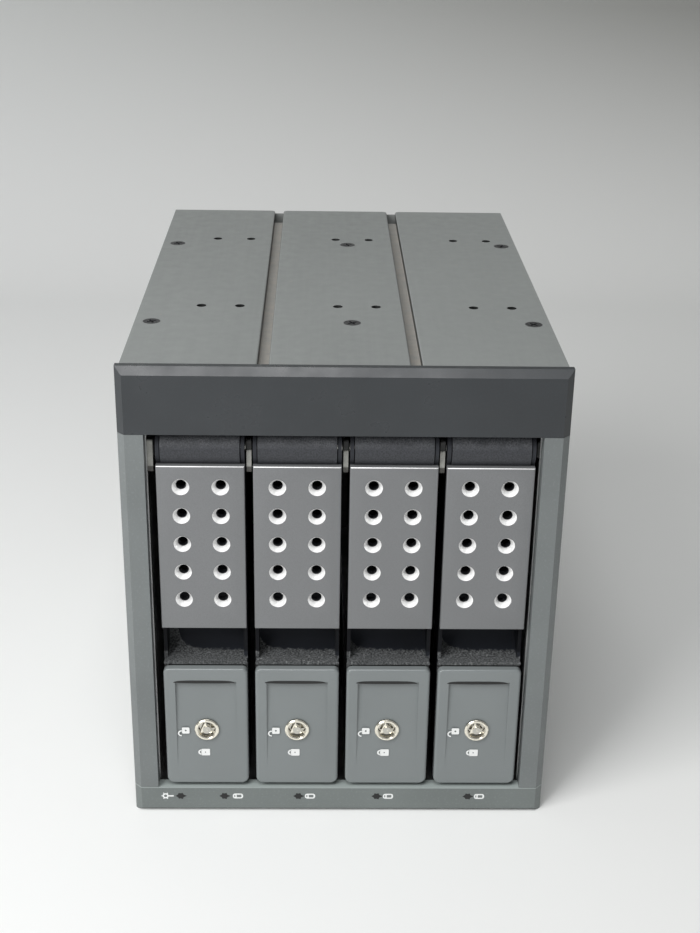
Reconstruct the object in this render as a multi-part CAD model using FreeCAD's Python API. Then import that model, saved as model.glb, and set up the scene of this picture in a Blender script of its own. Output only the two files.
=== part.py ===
"""Four-bay hot swap drive cage, lying on its installed left side so that its trays stand upright.

Every length is in millimetres. While a piece is built, y is its depth behind the front face of the
bezel, x is measured from the middle of the bezel and z from the surface that the cage rests on.
Saving a piece moves it so that the origin is at the centre of the cage's base.
"""
import FreeCAD
import Part
import math
import os

Vector = FreeCAD.Vector
X_AXIS = Vector(1, 0, 0)
Y_AXIS = Vector(0, 1, 0)
Z_AXIS = Vector(0, 0, 1)

# ---------------------------------------------------------------- driving dimensions: front frame
bezel_thickness = 4.2
bezel_wall = 2.4
bezel_chamfer = 2.1
bezel_side_overhang = 0.8
bezel_top_overhang = 0.95
bezel_seam = 0.1
upper_block_height = 19.6
stile_width = 7.4
led_strip_height = 8.9
led_strip_bottom_chamfer = 1.4
spigot_depth = 8.6
spigot_wall = 1.5
spigot_clearance = 0.35
power_lamp_inset = 14.0
tray_lamp_offsets = (4.75, 0.35, -2.75, -1.75)
indicator_z = 5.65
light_pipe_radius = 0.75
light_pipe_clearance = 0.05
light_pipe_recess = 0.4
light_boss_wall = 0.4
light_boss_length = 4.3

# ---------------------------------------------------------------- driving dimensions: sheet-metal shell
sheet = 1.0
bend_radius = 1.2
groove_insets = (85.5, 42.6)
groove_width = 3.2
groove_depth = 2.4
groove_notch_length = 9.0
groove_notch_radius = 1.8
groove_notch_corner = 0.8
groove_lip_radius = 0.5
groove_root_radius = 0.3
cover_flange = 8.6
bay_pitch = 42.33
bay_count = 3
bay_hole_offsets = (9.93, 21.84)
bay_hole_front = 60.1
bay_hole_spacing = 79.25
bay_hole_radius = 1.5
shell_screw_inset = 5.1
centre_screw_x = 2.7
shell_screw_y = (44.2, 132.6)
shell_screw_head_radius = 2.6
shell_screw_radius = 1.45
shell_screw_length = 5.0
shell_screw_recess = 0.6
screw_clearance = 0.05

# ---------------------------------------------------------------- driving dimensions: inner cage
inner_sheet = 0.8
inner_side_gap = 0.8
inner_front = 4.6
guide_plate_gap = 2.0
guide_flange = 6.5
guide_rail_leg = 1.4
guide_rail_web = 1.6
guide_rail_nose_width = 2.4
guide_rail_nose_gap = 0.4
guide_rail_edge_radius = 0.5
guide_rail_tail = 1.5
inner_tail = 0.5
running_gap = 0.3
guide_side_gap = 0.4
stiffener_width = 14.0
stiffener_foot = 6.0
stiffener_inset = 20.0
comb_tooth_width = 1.4
comb_tooth_height = 5.2
comb_tooth_drop = 3.2
comb_tooth_front = 4.7
comb_stem_front = 10.2
comb_stem_back = 16.4
comb_tip_radius = 0.6
comb_heel_radius = 2.0
comb_neck_radius = 1.2

# ---------------------------------------------------------------- driving dimensions: drives and trays
tray_count = 4
tray_gap = 2.4
tray_shift = 0.6
tray_side_gap = 1.1
tray_end_gap = 1.05
drive_width = 101.6
drive_height = 26.1
drive_length = 147.0
drive_side_gap = 1.4
drive_clearance = 0.1
drive_gap = 0.4
drive_hole_from_back = 28.5
drive_hole_spacing = 101.6
drive_hole_x = 6.7
drive_hole_radius = 1.7
drive_hole_sink_radius = 2.7
rail_web = 1.6
rail_flange = 5.7
rail_wall = 1.4
rail_bend_radius = 0.6
rail_root_radius = 0.3
tie_bar_width = 3.0
tie_bar_thickness = 2.0
frame_tail = 3.5

# ---------------------------------------------------------------- driving dimensions: tray front
moulding_wall = 1.2
plate_recess = 1.6
plate_thickness = 2.0
handle_room = 24.8
plate_edge_chamfer = 0.25
vent_columns = 2
vent_rows = 5
vent_column_pitch = 11.3
vent_top_margin = 6.5
vent_bottom_margin = 9.8
vent_outer_radius = 2.5
vent_inner_radius = 1.5
vent_cone_depth = 1.8
knuckle_radius = 5.6
knuckle_proud = 0.2
knuckle_clearance = 0.4
ear_relief = 0.4
plate_seat_gap = 0.05
hinge_pin_radius = 1.5
hinge_pin_proud = 0.35
hinge_running = 0.06
hinge_seat = 0.02
lever_thickness = 2.6
lever_rib_depth = 3.0
lever_rib_width = 1.4
lever_side_gap = 0.25
lever_foot_radius = 1.6
lever_rib_radius = 1.0
heel_radius = 9.0
heel_angle = 54.0
heel_width = 2.6
heel_tip_radius = 0.4
recess_depth = 7.8
scoop_radius = 7.6
scoop_lip = 1.0
scoop_lip_radius = 0.4
back_vent_radius = 1.0
back_vent_count = 4
back_vent_height = 5.2
back_vent_pitch = 8.2

# ---------------------------------------------------------------- driving dimensions: button and lock
button_side_gap = 0.1
button_bottom_gap = 1.1
button_height = 41.2
button_recess = 0.6
button_cap = 2.3
button_travel = 2.0
button_stop_gap = 0.3
button_top_radius = 1.6
button_bottom_radius = 2.3
button_edge_round = 0.8
button_skirt_depth = 4.7
button_skirt_gap = 0.4
thumb_width = 18.4
thumb_depth = 0.9
thumb_top_margin = 4.3
thumb_length = 31.0
lock_height = 19.8
lock_radius = 3.55
lock_running = 0.07
lock_proud = 0.3
lock_length = 8.4
lock_edge_chamfer = 0.25
lock_groove_outer = 2.75
lock_groove_inner = 1.25
lock_groove_depth = 1.8
lock_boss_wall = 1.5
lock_cam_width = 3.2
lock_cam_length = 7.5
lock_cam_thickness = 1.4
latch_width = 6.8
latch_thickness = 1.4
latch_gap = 0.5
latch_height = 11.2
latch_catch_gap = 0.4

# ---------------------------------------------------------------- driving dimensions: rear end
board_thickness = 1.6
board_margin = 0.6
board_window_height = 16.0
board_window_rib = 4.0
board_window_rows = 4
receptacle_depth = 7.0
receptacle_width = 5.0
receptacle_length = 41.0
receptacle_x = 9.5
receptacle_drop = 20.68
receptacle_slot_length = 33.4
receptacle_slot_width = 1.6
receptacle_slot_depth = 4.5
receptacle_end_gap = 0.3
rear_room = 5.3
standoff_radius = 2.6
standoff_hole_radius = 1.6
fan_size = 80.0
fan_depth = 25.0
fan_edge = 1.8
fan_wall = 1.4
fan_flange = 3.2
fan_corner_radius = 4.0
fan_hole_inset = 4.25
fan_hole_radius = 2.15
fan_screw_radius = 2.0
fan_screw_head_radius = 3.6
fan_screw_head_height = 2.2
fan_base_radius = 18.0
fan_base_thickness = 2.4
fan_strut_width = 3.0
fan_shaft_radius = 1.5
fan_shaft_running = 0.06
fan_shaft_end_gap = 1.5
fan_bearing_radius = 4.0
rotor_hub_radius = 18.0
rotor_hub_wall = 1.5
rotor_front_gap = 1.8
rotor_back_gap = 0.6
rotor_tip_gap = 2.0
rotor_blades = 7
blade_thickness = 1.2
blade_half_span = 9.0
blade_camber = 1.8
guard_wire = 1.5
guard_edge = 1.2
guard_first_ring = 13.0
guard_ring_count = 4
guard_eyelet_radius = 4.2
data_socket_width = 14.0
data_socket_height = 6.4
data_socket_pitch = 22.0
power_header_width = 23.0
power_header_height = 9.0
power_header_corner = 2.2
power_pin_radius = 1.05
power_header_x = 22.0
socket_depth = 10.5
socket_wall = 1.2
socket_cavity_depth = 7.0
socket_key_width = 1.8
socket_window_gap = 0.5

# ---------------------------------------------------------------- places worked out from them
web_half = drive_width / 2 + drive_clearance
tray_half_height = web_half + rail_web + rail_flange
tray_pitch = drive_height + drive_side_gap
tray_width = tray_pitch - tray_gap
opening_height = 2 * (tray_half_height + tray_end_gap)
bezel_width = tray_count * tray_pitch + 2 * (stile_width + tray_side_gap)
bezel_height = led_strip_height + opening_height + upper_block_height
opening_bottom = led_strip_height
opening_top = bezel_height - upper_block_height
middle_z = (opening_bottom + opening_top) / 2
chassis_half = bezel_width / 2 - bezel_side_overhang
chassis_height = bezel_height - bezel_top_overhang
shell_inner_half = chassis_half - sheet
groove_x = [chassis_half - inset for inset in groove_insets]
groove_inner_z = chassis_height - groove_depth - sheet
outer_screw_x = chassis_half - shell_screw_inset
shell_screw_x = (-outer_screw_x, centre_screw_x, outer_screw_x)
inner_side_x = tray_count * tray_pitch / 2 + inner_side_gap

guide_plate_half = tray_half_height + guide_plate_gap
guide_plate_low = middle_z + guide_plate_half
guide_plate_high = guide_plate_low + sheet
tray_half = tray_width / 2
tray_centres = [tray_shift + (i - (tray_count - 1) / 2) * tray_pitch for i in range(tray_count)]
tray_lamp_x = [centre + offset for centre, offset in zip(tray_centres, tray_lamp_offsets)]
indicator_x = [power_lamp_inset - bezel_width / 2] + tray_lamp_x

plate_back = plate_recess + plate_thickness
hinge_y = plate_recess + knuckle_proud + knuckle_radius
hinge_z = opening_top - knuckle_clearance - knuckle_radius
plate_top = hinge_z - math.sqrt(knuckle_radius ** 2 - (hinge_y - plate_back) ** 2) - plate_seat_gap
plate_height = opening_height - button_height - handle_room
plate_bottom = plate_top - plate_height
vent_row_pitch = (plate_height - vent_top_margin - vent_bottom_margin) / (vent_rows - 1)
lever_back = plate_back + lever_thickness
button_bottom = opening_bottom + button_bottom_gap
button_top = button_bottom + button_height
button_back = button_recess + button_cap
button_half = tray_half + button_side_gap / 2
moulding_front = button_back + button_travel + button_stop_gap
recess_back = moulding_front + recess_depth
latch_front = recess_back + moulding_wall + latch_gap
latch_back = latch_front + latch_thickness
moulding_back = latch_back + button_travel + latch_gap
moulding_inner = tray_half - moulding_wall
scoop_floor = button_top + button_skirt_gap + scoop_lip
pocket_top = scoop_floor - 2 * moulding_wall
pocket_bottom = middle_z - tray_half_height + moulding_wall
shelf_z = hinge_z - knuckle_radius - moulding_wall - running_gap
latch_z = plate_bottom + latch_height
lock_z = button_bottom + lock_height
lock_back = button_recess - lock_proud + lock_length

drive_front = moulding_back + drive_gap
drive_back = drive_front + drive_length
frame_back = drive_back + frame_tail
guide_rail_front = moulding_back + drive_gap
guide_rail_back = frame_back + guide_rail_tail
strike_front = hinge_y + heel_radius + guide_rail_nose_gap
board_front = drive_back + receptacle_end_gap + receptacle_depth
board_back = board_front + board_thickness
rear_inner = board_back + rear_room
rear_outer = rear_inner + sheet
fan_back = rear_outer + fan_depth
guard_back = fan_back + guard_wire
overall_depth = guard_back + fan_screw_head_height
fan_bore_radius = fan_size / 2 - fan_edge
fan_hole_spacing = fan_size - 2 * fan_hole_inset
rotor_tip_radius = fan_bore_radius - rotor_tip_gap
guard_ring_pitch = (fan_bore_radius - guard_edge - guard_first_ring) / (guard_ring_count - 1)
guard_rings = [guard_first_ring + i * guard_ring_pitch for i in range(guard_ring_count)]
inner_back = guide_rail_back + inner_tail
board_half_width = inner_side_x - board_margin
board_low = middle_z - guide_plate_half + board_margin
board_high = middle_z + guide_plate_half - board_margin
data_socket_z = board_low + data_socket_height
power_header_z = board_high - power_header_height


# ---------------------------------------------------------------- shape helpers
def block(x_low, x_high, y_low, y_high, z_low, z_high):
    """Rectangular solid between two corners."""
    size = (x_high - x_low, y_high - y_low, z_high - z_low)
    return Part.makeBox(size[0], size[1], size[2], Vector(x_low, y_low, z_low))


def to_space(plane, u, v, offset):
    """Point of a drawing plane named by its two axes."""
    if plane == "yz":
        return Vector(offset, u, v)
    if plane == "xz":
        return Vector(u, offset, v)
    return Vector(u, v, offset)


def outline(corners, plane, offset):
    """Closed wire through (u, v, radius) corners, each rounded by a tangent arc of its radius."""
    starts = []
    ends = []
    middles = []
    for index, (u, v, radius) in enumerate(corners):
        corner = Vector(u, v, 0)
        before = Vector(corners[index - 1][0], corners[index - 1][1], 0) - corner
        after_point = corners[(index + 1) % len(corners)]
        after = Vector(after_point[0], after_point[1], 0) - corner
        before.normalize()
        after.normalize()
        half_angle = before.getAngle(after) / 2
        reach = radius / math.tan(half_angle)
        bisector = before + after
        if bisector.Length > 0:
            bisector.normalize()
        starts.append(corner + before * reach)
        ends.append(corner + after * reach)
        middles.append(corner + bisector * (radius / math.sin(half_angle) - radius))
    edges = []
    for index, (u, v, radius) in enumerate(corners):
        arrive = to_space(plane, starts[index].x, starts[index].y, offset)
        leave = to_space(plane, ends[index].x, ends[index].y, offset)
        if radius > 0:
            middle = to_space(plane, middles[index].x, middles[index].y, offset)
            edges.append(Part.Arc(arrive, middle, leave).toShape())
        following = starts[(index + 1) % len(corners)]
        target = to_space(plane, following.x, following.y, offset)
        if leave.distanceToPoint(target) > 1e-6:
            edges.append(Part.LineSegment(leave, target).toShape())
    return Part.Wire(edges)


def prism(corners, plane, low, high):
    """Solid with a rounded outline in a plane, from one offset to another along the plane's normal."""
    travel = to_space(plane, 0, 0, high - low)
    return Part.Face(outline(corners, plane, low)).extrude(travel)


def rectangle(u_low, u_high, v_low, v_high, radius=0.0):
    """Corners of a rectangle with one radius."""
    return [(u_low, v_low, radius), (u_high, v_low, radius), (u_high, v_high, radius), (u_low, v_high, radius)]


def rod_x(radius, x_low, x_high, y, z):
    """Cylinder along x."""
    return Part.makeCylinder(radius, x_high - x_low, Vector(x_low, y, z), X_AXIS)


def rod_y(radius, y_low, y_high, x, z):
    """Cylinder along y."""
    return Part.makeCylinder(radius, y_high - y_low, Vector(x, y_low, z), Y_AXIS)


def rod_z(radius, z_low, z_high, x, y):
    """Cylinder along z."""
    return Part.makeCylinder(radius, z_high - z_low, Vector(x, y, z_low), Z_AXIS)


def fused(shapes):
    """One clean solid from touching or overlapping shapes."""
    return shapes[0].fuse(shapes[1:]).removeSplitter() if len(shapes) > 1 else shapes[0]


def edges_where(shape, test):
    """Edges of a shape whose end points all pass a test."""
    return [edge for edge in shape.Edges if all(test(vertex.Point) for vertex in edge.Vertexes)]


def near(value, target):
    """Whether a coordinate lies on a target."""
    return abs(value - target) < 1e-4


def mirrored(shape):
    """The same piece for the opposite side of the trays, mirrored about their middle height."""
    return shape.mirror(Vector(0, 0, middle_z), Z_AXIS)


def mirrored_shell(shape):
    """The same piece for the bottom of the shell, mirrored about the shell's middle height."""
    return shape.mirror(Vector(0, 0, chassis_height / 2), Z_AXIS)


# ---------------------------------------------------------------- sheet-metal shell
def bay_hole_places():
    """Where the bay-mount holes are, counted in bay pitches from the installed bottom face."""
    places = []
    for bay in range(bay_count):
        for offset in bay_hole_offsets:
            for row in range(2):
                x = chassis_half - offset - bay * bay_pitch
                places.append((x, bay_hole_front + row * bay_hole_spacing))
    return places


def shell_screw_places():
    """Where the countersunk screws of one outer panel are."""
    return [(x, y) for x in shell_screw_x for y in shell_screw_y]


def outer_panel():
    """Top panel: one formed sheet with raised bands, sunk grooves, tapped holes and screw seats."""
    top = chassis_height
    floor = top - groove_depth
    outer_line = [(-chassis_half, top, 0)]
    inner_line = [(-chassis_half, top - sheet, 0)]
    for x in groove_x:
        left = x - groove_width / 2
        right = x + groove_width / 2
        outer_line += [(left, top, groove_lip_radius), (left, floor, groove_root_radius)]
        outer_line += [(right, floor, groove_root_radius), (right, top, groove_lip_radius)]
        inner_line += [(left - sheet, top - sheet, 0), (left - sheet, floor - sheet, 0)]
        inner_line += [(right + sheet, floor - sheet, 0), (right + sheet, top - sheet, 0)]
    outer_line.append((chassis_half, top, 0))
    inner_line.append((chassis_half, top - sheet, 0))
    panel = prism(outer_line + inner_line[::-1], "xz", bezel_thickness, rear_outer)
    cuts = []
    flare = 2 * groove_notch_radius
    for x in groove_x:
        left = x - groove_width / 2
        right = x + groove_width / 2
        notch_front = rear_outer - groove_notch_length
        mouth = [
            (left, notch_front, groove_notch_corner), (right, notch_front, groove_notch_corner),
            (right, rear_outer, groove_notch_radius), (right + flare, rear_outer, 0),
            (right + flare, rear_outer + 1, 0), (left - flare, rear_outer + 1, 0),
            (left - flare, rear_outer, 0), (left, rear_outer, groove_notch_radius),
        ]
        cuts.append(prism(mouth, "xy", floor - 2 * sheet, top + 1))
        cuts.append(block(left - sheet, right + sheet, notch_front, rear_outer + 1,
                          floor - 2 * sheet, top - sheet))
    holes = [rod_z(bay_hole_radius, top - 2 * sheet, top + 1, x, y) for x, y in bay_hole_places()]
    seats = [screw_seat(x, y) for x, y in shell_screw_places()]
    return panel.cut(cuts + holes + seats)


def screw_seat(x, y):
    """Countersunk hole for one shell screw, through the top panel and the flange under it."""
    head = shell_screw_head_radius + screw_clearance
    neck = shell_screw_radius + screw_clearance
    top = Vector(x, y, chassis_height)
    cone = Part.makeCone(head, neck, head - neck, top, Vector(0, 0, -1))
    return cone.fuse(rod_z(neck, chassis_height - shell_screw_length, chassis_height, x, y))


def shell_screw(x, y):
    """Countersunk cross-recess screw, flush with the top panel."""
    drop = shell_screw_head_radius - shell_screw_radius
    top = Vector(x, y, chassis_height)
    head = Part.makeCone(shell_screw_head_radius, shell_screw_radius, drop, top, Vector(0, 0, -1))
    shank = rod_z(shell_screw_radius, chassis_height - shell_screw_length, chassis_height - drop, x, y)
    arm = shell_screw_radius
    slot = shell_screw_recess / 2
    floor = chassis_height - shell_screw_recess
    cross = block(x - arm, x + arm, y - slot, y + slot, floor, chassis_height + 1)
    cross = cross.fuse(block(x - slot, x + slot, y - arm, y + arm, floor, chassis_height + 1))
    return fused([head, shank]).cut(cross)


def shell_screws():
    """All the screws of one outer panel."""
    return Part.makeCompound([shell_screw(x, y) for x, y in shell_screw_places()])


def side_cover(side):
    """Folded side sheet with a flange under the top panel and one over the bottom panel."""
    wall_out = side * chassis_half
    wall_in = side * shell_inner_half
    tip = side * (chassis_half - cover_flange)
    low = sheet
    high = chassis_height - sheet
    section = [
        (wall_out, low, bend_radius), (wall_out, high, bend_radius), (tip, high, 0), (tip, high - sheet, 0),
        (wall_in, high - sheet, 0), (wall_in, low + sheet, 0), (tip, low + sheet, 0), (tip, low, 0),
    ]
    cover = prism(section, "xz", bezel_thickness, rear_outer)
    seats = [screw_seat(x, y) for x, y in shell_screw_places() if x * side > inner_side_x]
    return cover.cut(seats + [mirrored_shell(seat) for seat in seats])


def socket_places():
    """Where the rear sockets are: (x, z, width, height)."""
    places = []
    for index in range(tray_count):
        x = tray_shift + (index - (tray_count - 1) / 2) * data_socket_pitch
        places.append((x, data_socket_z, data_socket_width, data_socket_height))
    for side in (-1, 1):
        x = tray_shift + side * power_header_x
        places.append((x, power_header_z, power_header_width, power_header_height))
    return places


def standoff_places():
    """Where the backplane is fastened to the rear panel."""
    reach = board_half_width - 2 * standoff_radius
    heights = (board_low + 3 * standoff_radius, middle_z, board_high - 3 * standoff_radius)
    return [(side * reach, z) for side in (-1, 1) for z in heights]


def fan_hole_places():
    """Where the corner screws of the fan are."""
    half = fan_hole_spacing / 2
    return [(tray_shift + sx * half, middle_z + sz * half) for sx in (-1, 1) for sz in (-1, 1)]


def rear_panel():
    """Rear sheet between the folded covers, with the fan opening, socket windows and side flanges."""
    half = shell_inner_half
    tip = chassis_half - cover_flange - screw_clearance
    low = sheet
    high = chassis_height - sheet
    section = [
        (-half, low + sheet, 0), (-tip, low + sheet, 0), (-tip, low, 0), (tip, low, 0),
        (tip, low + sheet, 0), (half, low + sheet, 0), (half, high - sheet, 0), (tip, high - sheet, 0),
        (tip, high, 0), (-tip, high, 0), (-tip, high - sheet, 0), (-half, high - sheet, 0),
    ]
    parts = [prism(section, "xz", rear_inner, rear_outer)]
    for side in (-1, 1):
        x_low = min(side * half, side * (half - sheet))
        parts.append(block(x_low, x_low + sheet, inner_back + sheet, rear_outer,
                           guide_flange * 2, high - guide_flange * 3))
    panel = fused(parts)
    cuts = [rod_y(fan_bore_radius, rear_inner - 1, rear_outer + 1, tray_shift, middle_z)]
    for x, z, width, height in socket_places():
        gap = socket_window_gap
        cuts.append(block(x - width / 2 - gap, x + width / 2 + gap, rear_inner - 1, rear_outer + 1,
                          z - height / 2 - gap, z + height / 2 + gap))
    for x, z in fan_hole_places():
        cuts.append(rod_y(fan_screw_radius + screw_clearance, rear_inner - 1, rear_outer + 1, x, z))
    return panel.cut(cuts)


# ---------------------------------------------------------------- front frame
def frame_bar(x_low, x_high, z_low, z_high):
    """One flat bar of the front frame."""
    return block(x_low, x_high, 0, bezel_thickness, z_low, z_high)


def front_edge(point, x=None, z=None):
    """Whether a point lies on the front face and on a given side line."""
    return near(point.y, 0) and (x is None or near(point.x, x)) and (z is None or near(point.z, z))


def bezel_upper_block():
    """Wide blank block: chamfered hollow face with a spigot that plugs into the shell."""
    half = bezel_width / 2
    bar = frame_bar(-half, half, opening_top, bezel_height)
    edges = edges_where(bar, lambda p: front_edge(p, z=bezel_height))
    edges += edges_where(bar, lambda p: front_edge(p, x=-half))
    edges += edges_where(bar, lambda p: front_edge(p, x=half))
    bar = bar.makeChamfer(bezel_chamfer, edges)
    spigot_half = shell_inner_half - sheet - spigot_clearance
    low = guide_plate_high + spigot_clearance
    high = groove_inner_z - spigot_clearance
    back = bezel_thickness + spigot_depth
    spigot = block(-spigot_half, spigot_half, bezel_wall, back, low, high)
    hollow = block(-spigot_half + spigot_wall, spigot_half - spigot_wall, bezel_wall, back + 1,
                   low + spigot_wall, high - spigot_wall)
    return bar.fuse(spigot).removeSplitter().cut(hollow)


def bezel_stile(side):
    """Narrow side bar with a clip wall that slips inside the shell."""
    outer = side * bezel_width / 2
    inner = outer - side * stile_width
    low = opening_bottom + bezel_seam
    high = opening_top - bezel_seam
    bar = frame_bar(min(outer, inner), max(outer, inner), low, high)
    bar = bar.makeChamfer(bezel_chamfer, edges_where(bar, lambda p: front_edge(p, x=outer)))
    wall_out = side * (shell_inner_half - sheet - spigot_clearance)
    wall_in = wall_out - side * spigot_wall
    clip = block(min(wall_out, wall_in), max(wall_out, wall_in), bezel_thickness,
                 bezel_thickness + spigot_depth, low + spigot_depth, high - spigot_depth)
    return fused([bar, clip])


def led_strip():
    """Bottom bar with five indicator bosses and two end clips."""
    half = bezel_width / 2
    bar = frame_bar(-half, half, 0, led_strip_height)
    sides = edges_where(bar, lambda p: front_edge(p, x=-half))
    sides += edges_where(bar, lambda p: front_edge(p, x=half))
    bar = bar.makeChamfer(bezel_chamfer, sides)
    bar = bar.makeChamfer(led_strip_bottom_chamfer, edges_where(bar, lambda p: front_edge(p, z=0)))
    boss_radius = light_pipe_radius + light_pipe_clearance + light_boss_wall
    boss_back = bezel_thickness + light_boss_length
    parts = [bar]
    for x in indicator_x:
        parts.append(rod_y(boss_radius, bezel_thickness, boss_back, x, indicator_z))
    clip_out = shell_inner_half - sheet - spigot_clearance
    clip_in = clip_out - 3 * spigot_depth / 2
    for side in (-1, 1):
        x_low = min(side * clip_out, side * clip_in)
        parts.append(block(x_low, x_low + clip_out - clip_in, bezel_thickness, boss_back + light_pipe_recess,
                           lamp_board_low(), lamp_board_low() + 2 * board_thickness))
    strip = fused(parts)
    hole = light_pipe_radius + light_pipe_clearance
    return strip.cut([rod_y(hole, -1, boss_back + 1, x, indicator_z) for x in indicator_x])


def lamp_board_low():
    """Underside of the indicator board, just above the bottom panel's grooves."""
    return groove_depth + sheet + spigot_clearance


def light_pipes():
    """Clear rods that carry the indicator light to the face of the strip."""
    back = bezel_thickness + light_boss_length + 2 * light_pipe_recess
    rods = [rod_y(light_pipe_radius, light_pipe_recess, back, x, indicator_z) for x in indicator_x]
    return Part.makeCompound(rods)


def indicator_board():
    """Flat circuit board behind the strip, with one side-facing lamp behind each light pipe."""
    front = bezel_thickness + light_boss_length + light_pipe_recess
    low = lamp_board_low()
    top = indicator_z - light_pipe_radius - light_pipe_clearance
    half = bezel_width / 2 - stile_width
    parts = [block(-half, half, front, front + spigot_depth, low, top)]
    lamp_front = front + 2 * light_pipe_recess
    for x in indicator_x:
        parts.append(block(x - board_thickness, x + board_thickness, lamp_front, lamp_front + board_thickness,
                           top, indicator_z + light_pipe_radius))
    return fused(parts)


# ---------------------------------------------------------------- inner cage
def upper_guide_plate():
    """Inner plate above the trays, with a flange up each cover."""
    half = shell_inner_half
    low = guide_plate_low
    high = guide_plate_high
    top = high + guide_flange
    section = [
        (-half, low, bend_radius), (half, low, bend_radius), (half, top, 0), (half - sheet, top, 0),
        (half - sheet, high, 0), (-half + sheet, high, 0), (-half + sheet, top, 0), (-half, top, 0),
    ]
    plate = prism(section, "xz", inner_front, inner_back)
    holes = [rod_z(bay_hole_radius, low - 1, high + 1, x, y) for x in tray_centres for y in rail_screw_depths()]
    return plate.cut(holes)


def lower_guide_plate():
    """Inner plate below the trays, with short flanges that stand on the cover flanges."""
    half = shell_inner_half
    high = middle_z - guide_plate_half
    low = high - sheet
    foot = 2 * sheet
    section = [
        (-half, high, bend_radius), (half, high, bend_radius), (half, foot, 0), (half - sheet, foot, 0),
        (half - sheet, low, 0), (-half + sheet, low, 0), (-half + sheet, foot, 0), (-half, foot, 0),
    ]
    plate = prism(section, "xz", inner_front, inner_back)
    holes = [rod_z(bay_hole_radius, low - 1, high + 1, x, y) for x in tray_centres for y in rail_screw_depths()]
    return plate.cut(holes)


def rail_screw_depths():
    """Depths at which a guide rail is staked to its plate."""
    span = guide_rail_back - guide_rail_front
    return [guide_rail_front + span * share for share in (0.2, 0.8)]


def guide_rail(x, with_nose):
    """Plastic rail under the upper guide plate: a channel that a tray's own channel runs around."""
    half = tray_half - rail_wall - guide_side_gap
    low = middle_z + web_half + rail_web + running_gap
    high = guide_plate_low
    inner = half - guide_rail_leg
    web = high - guide_rail_web
    edge = guide_rail_edge_radius
    section = [
        (x - half, low, edge), (x - inner, low, 0), (x - inner, web, edge), (x + inner, web, edge),
        (x + inner, low, 0), (x + half, low, edge), (x + half, high, 0), (x - half, high, 0),
    ]
    rail = prism(section, "xz", guide_rail_front, guide_rail_back)
    lead = guide_rail_leg
    for side in (-1, 1):
        tip = x + side * half
        corners = [(tip - side * lead, guide_rail_front, 0), (tip, guide_rail_front, 0),
                   (tip, guide_rail_front + 3 * lead, 0)]
        rail = rail.cut(prism(corners, "xy", low - 1, high - guide_rail_web))
    parts = [rail]
    if with_nose:
        parts.append(block(x - guide_rail_nose_width / 2, x + guide_rail_nose_width / 2, strike_front,
                           guide_rail_front + 4 * lead, low, high))
    for y in rail_screw_depths():
        parts.append(rod_z(bay_hole_radius - screw_clearance, high - guide_rail_web / 2, high + sheet, x, y))
    return fused(parts)


def guide_rails(with_nose):
    """The rails of one guide plate; the upper ones have a nose that each lever's heel bears on."""
    return Part.makeCompound([guide_rail(x, with_nose) for x in tray_centres])


def inner_side(side):
    """Galvanised side plate of the inner cage, between the two guide plates."""
    inner = side * inner_side_x
    outer = side * (inner_side_x + inner_sheet)
    low = middle_z - guide_plate_half
    plate = block(min(inner, outer), max(inner, outer), inner_front, inner_back, low, guide_plate_low)
    slot_half = spigot_depth
    slots = []
    for share in (0.3, 0.7):
        z = low + (guide_plate_low - low) * share
        for y in rail_screw_depths():
            corners = rectangle(y - slot_half, y + slot_half, z - sheet * 3, z + sheet * 3, sheet * 2.9)
            slots.append(prism(corners, "yz", min(inner, outer) - 1, max(inner, outer) + 1))
    return plate.cut(slots)


def stiffener(low, high):
    """Hat section between a guide plate and an outer panel, under the centre screws."""
    x = shell_screw_x[1]
    half = stiffener_width / 2
    foot = half + stiffener_foot
    section = [
        (x - foot, low, 0), (x - half, low, 0), (x - half, high - sheet, 0), (x + half, high - sheet, 0),
        (x + half, low, 0), (x + foot, low, 0), (x + foot, low + sheet, 0), (x + half + sheet, low + sheet, 0),
        (x + half + sheet, high, bend_radius), (x - half - sheet, high, bend_radius),
        (x - half - sheet, low + sheet, 0), (x - foot, low + sheet, 0),
    ]
    bar = prism(section, "xz", stiffener_inset, inner_back - stiffener_inset / 2)
    return bar.cut([screw_seat(x, y) for y in shell_screw_y])


def upper_stiffener():
    """Hat section under the top panel."""
    return stiffener(guide_plate_high, chassis_height - sheet)


def lower_stiffener():
    """Hat section over the bottom panel, turned over so that its crown lies on that panel."""
    top = middle_z - guide_plate_half - sheet
    height = top - sheet
    return mirrored_shell(stiffener(chassis_height - sheet - height, chassis_height - sheet))


def strike_comb():
    """Bright steel comb under the upper guide plate: one tooth in each gap beside the knuckles."""
    high = guide_plate_low
    low = high - inner_sheet
    tooth_high = opening_top - comb_tooth_drop
    tooth_low = tooth_high - comb_tooth_height
    left_end = -inner_side_x
    right_end = inner_side_x
    parts = [block(left_end, right_end, comb_stem_front, comb_stem_back, low, high)]
    first_gap = tray_centres[0] - tray_pitch / 2
    pin_reach = tray_half + hinge_pin_proud + running_gap
    spans = [(left_end, tray_centres[0] - pin_reach), (tray_centres[-1] + pin_reach, right_end)]
    for index in range(1, tray_count):
        x = first_gap + index * tray_pitch
        spans.append((x - comb_tooth_width / 2, x + comb_tooth_width / 2))
    for x_low, x_high in spans:
        profile = [
            (comb_tooth_front, tooth_low, comb_tip_radius), (comb_stem_back, tooth_low, comb_heel_radius),
            (comb_stem_back, high, 0), (comb_stem_front, high, 0),
            (comb_stem_front, tooth_high, comb_neck_radius), (comb_tooth_front, tooth_high, comb_tip_radius),
        ]
        parts.append(prism(profile, "yz", x_low, x_high))
    return fused(parts)


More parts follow.
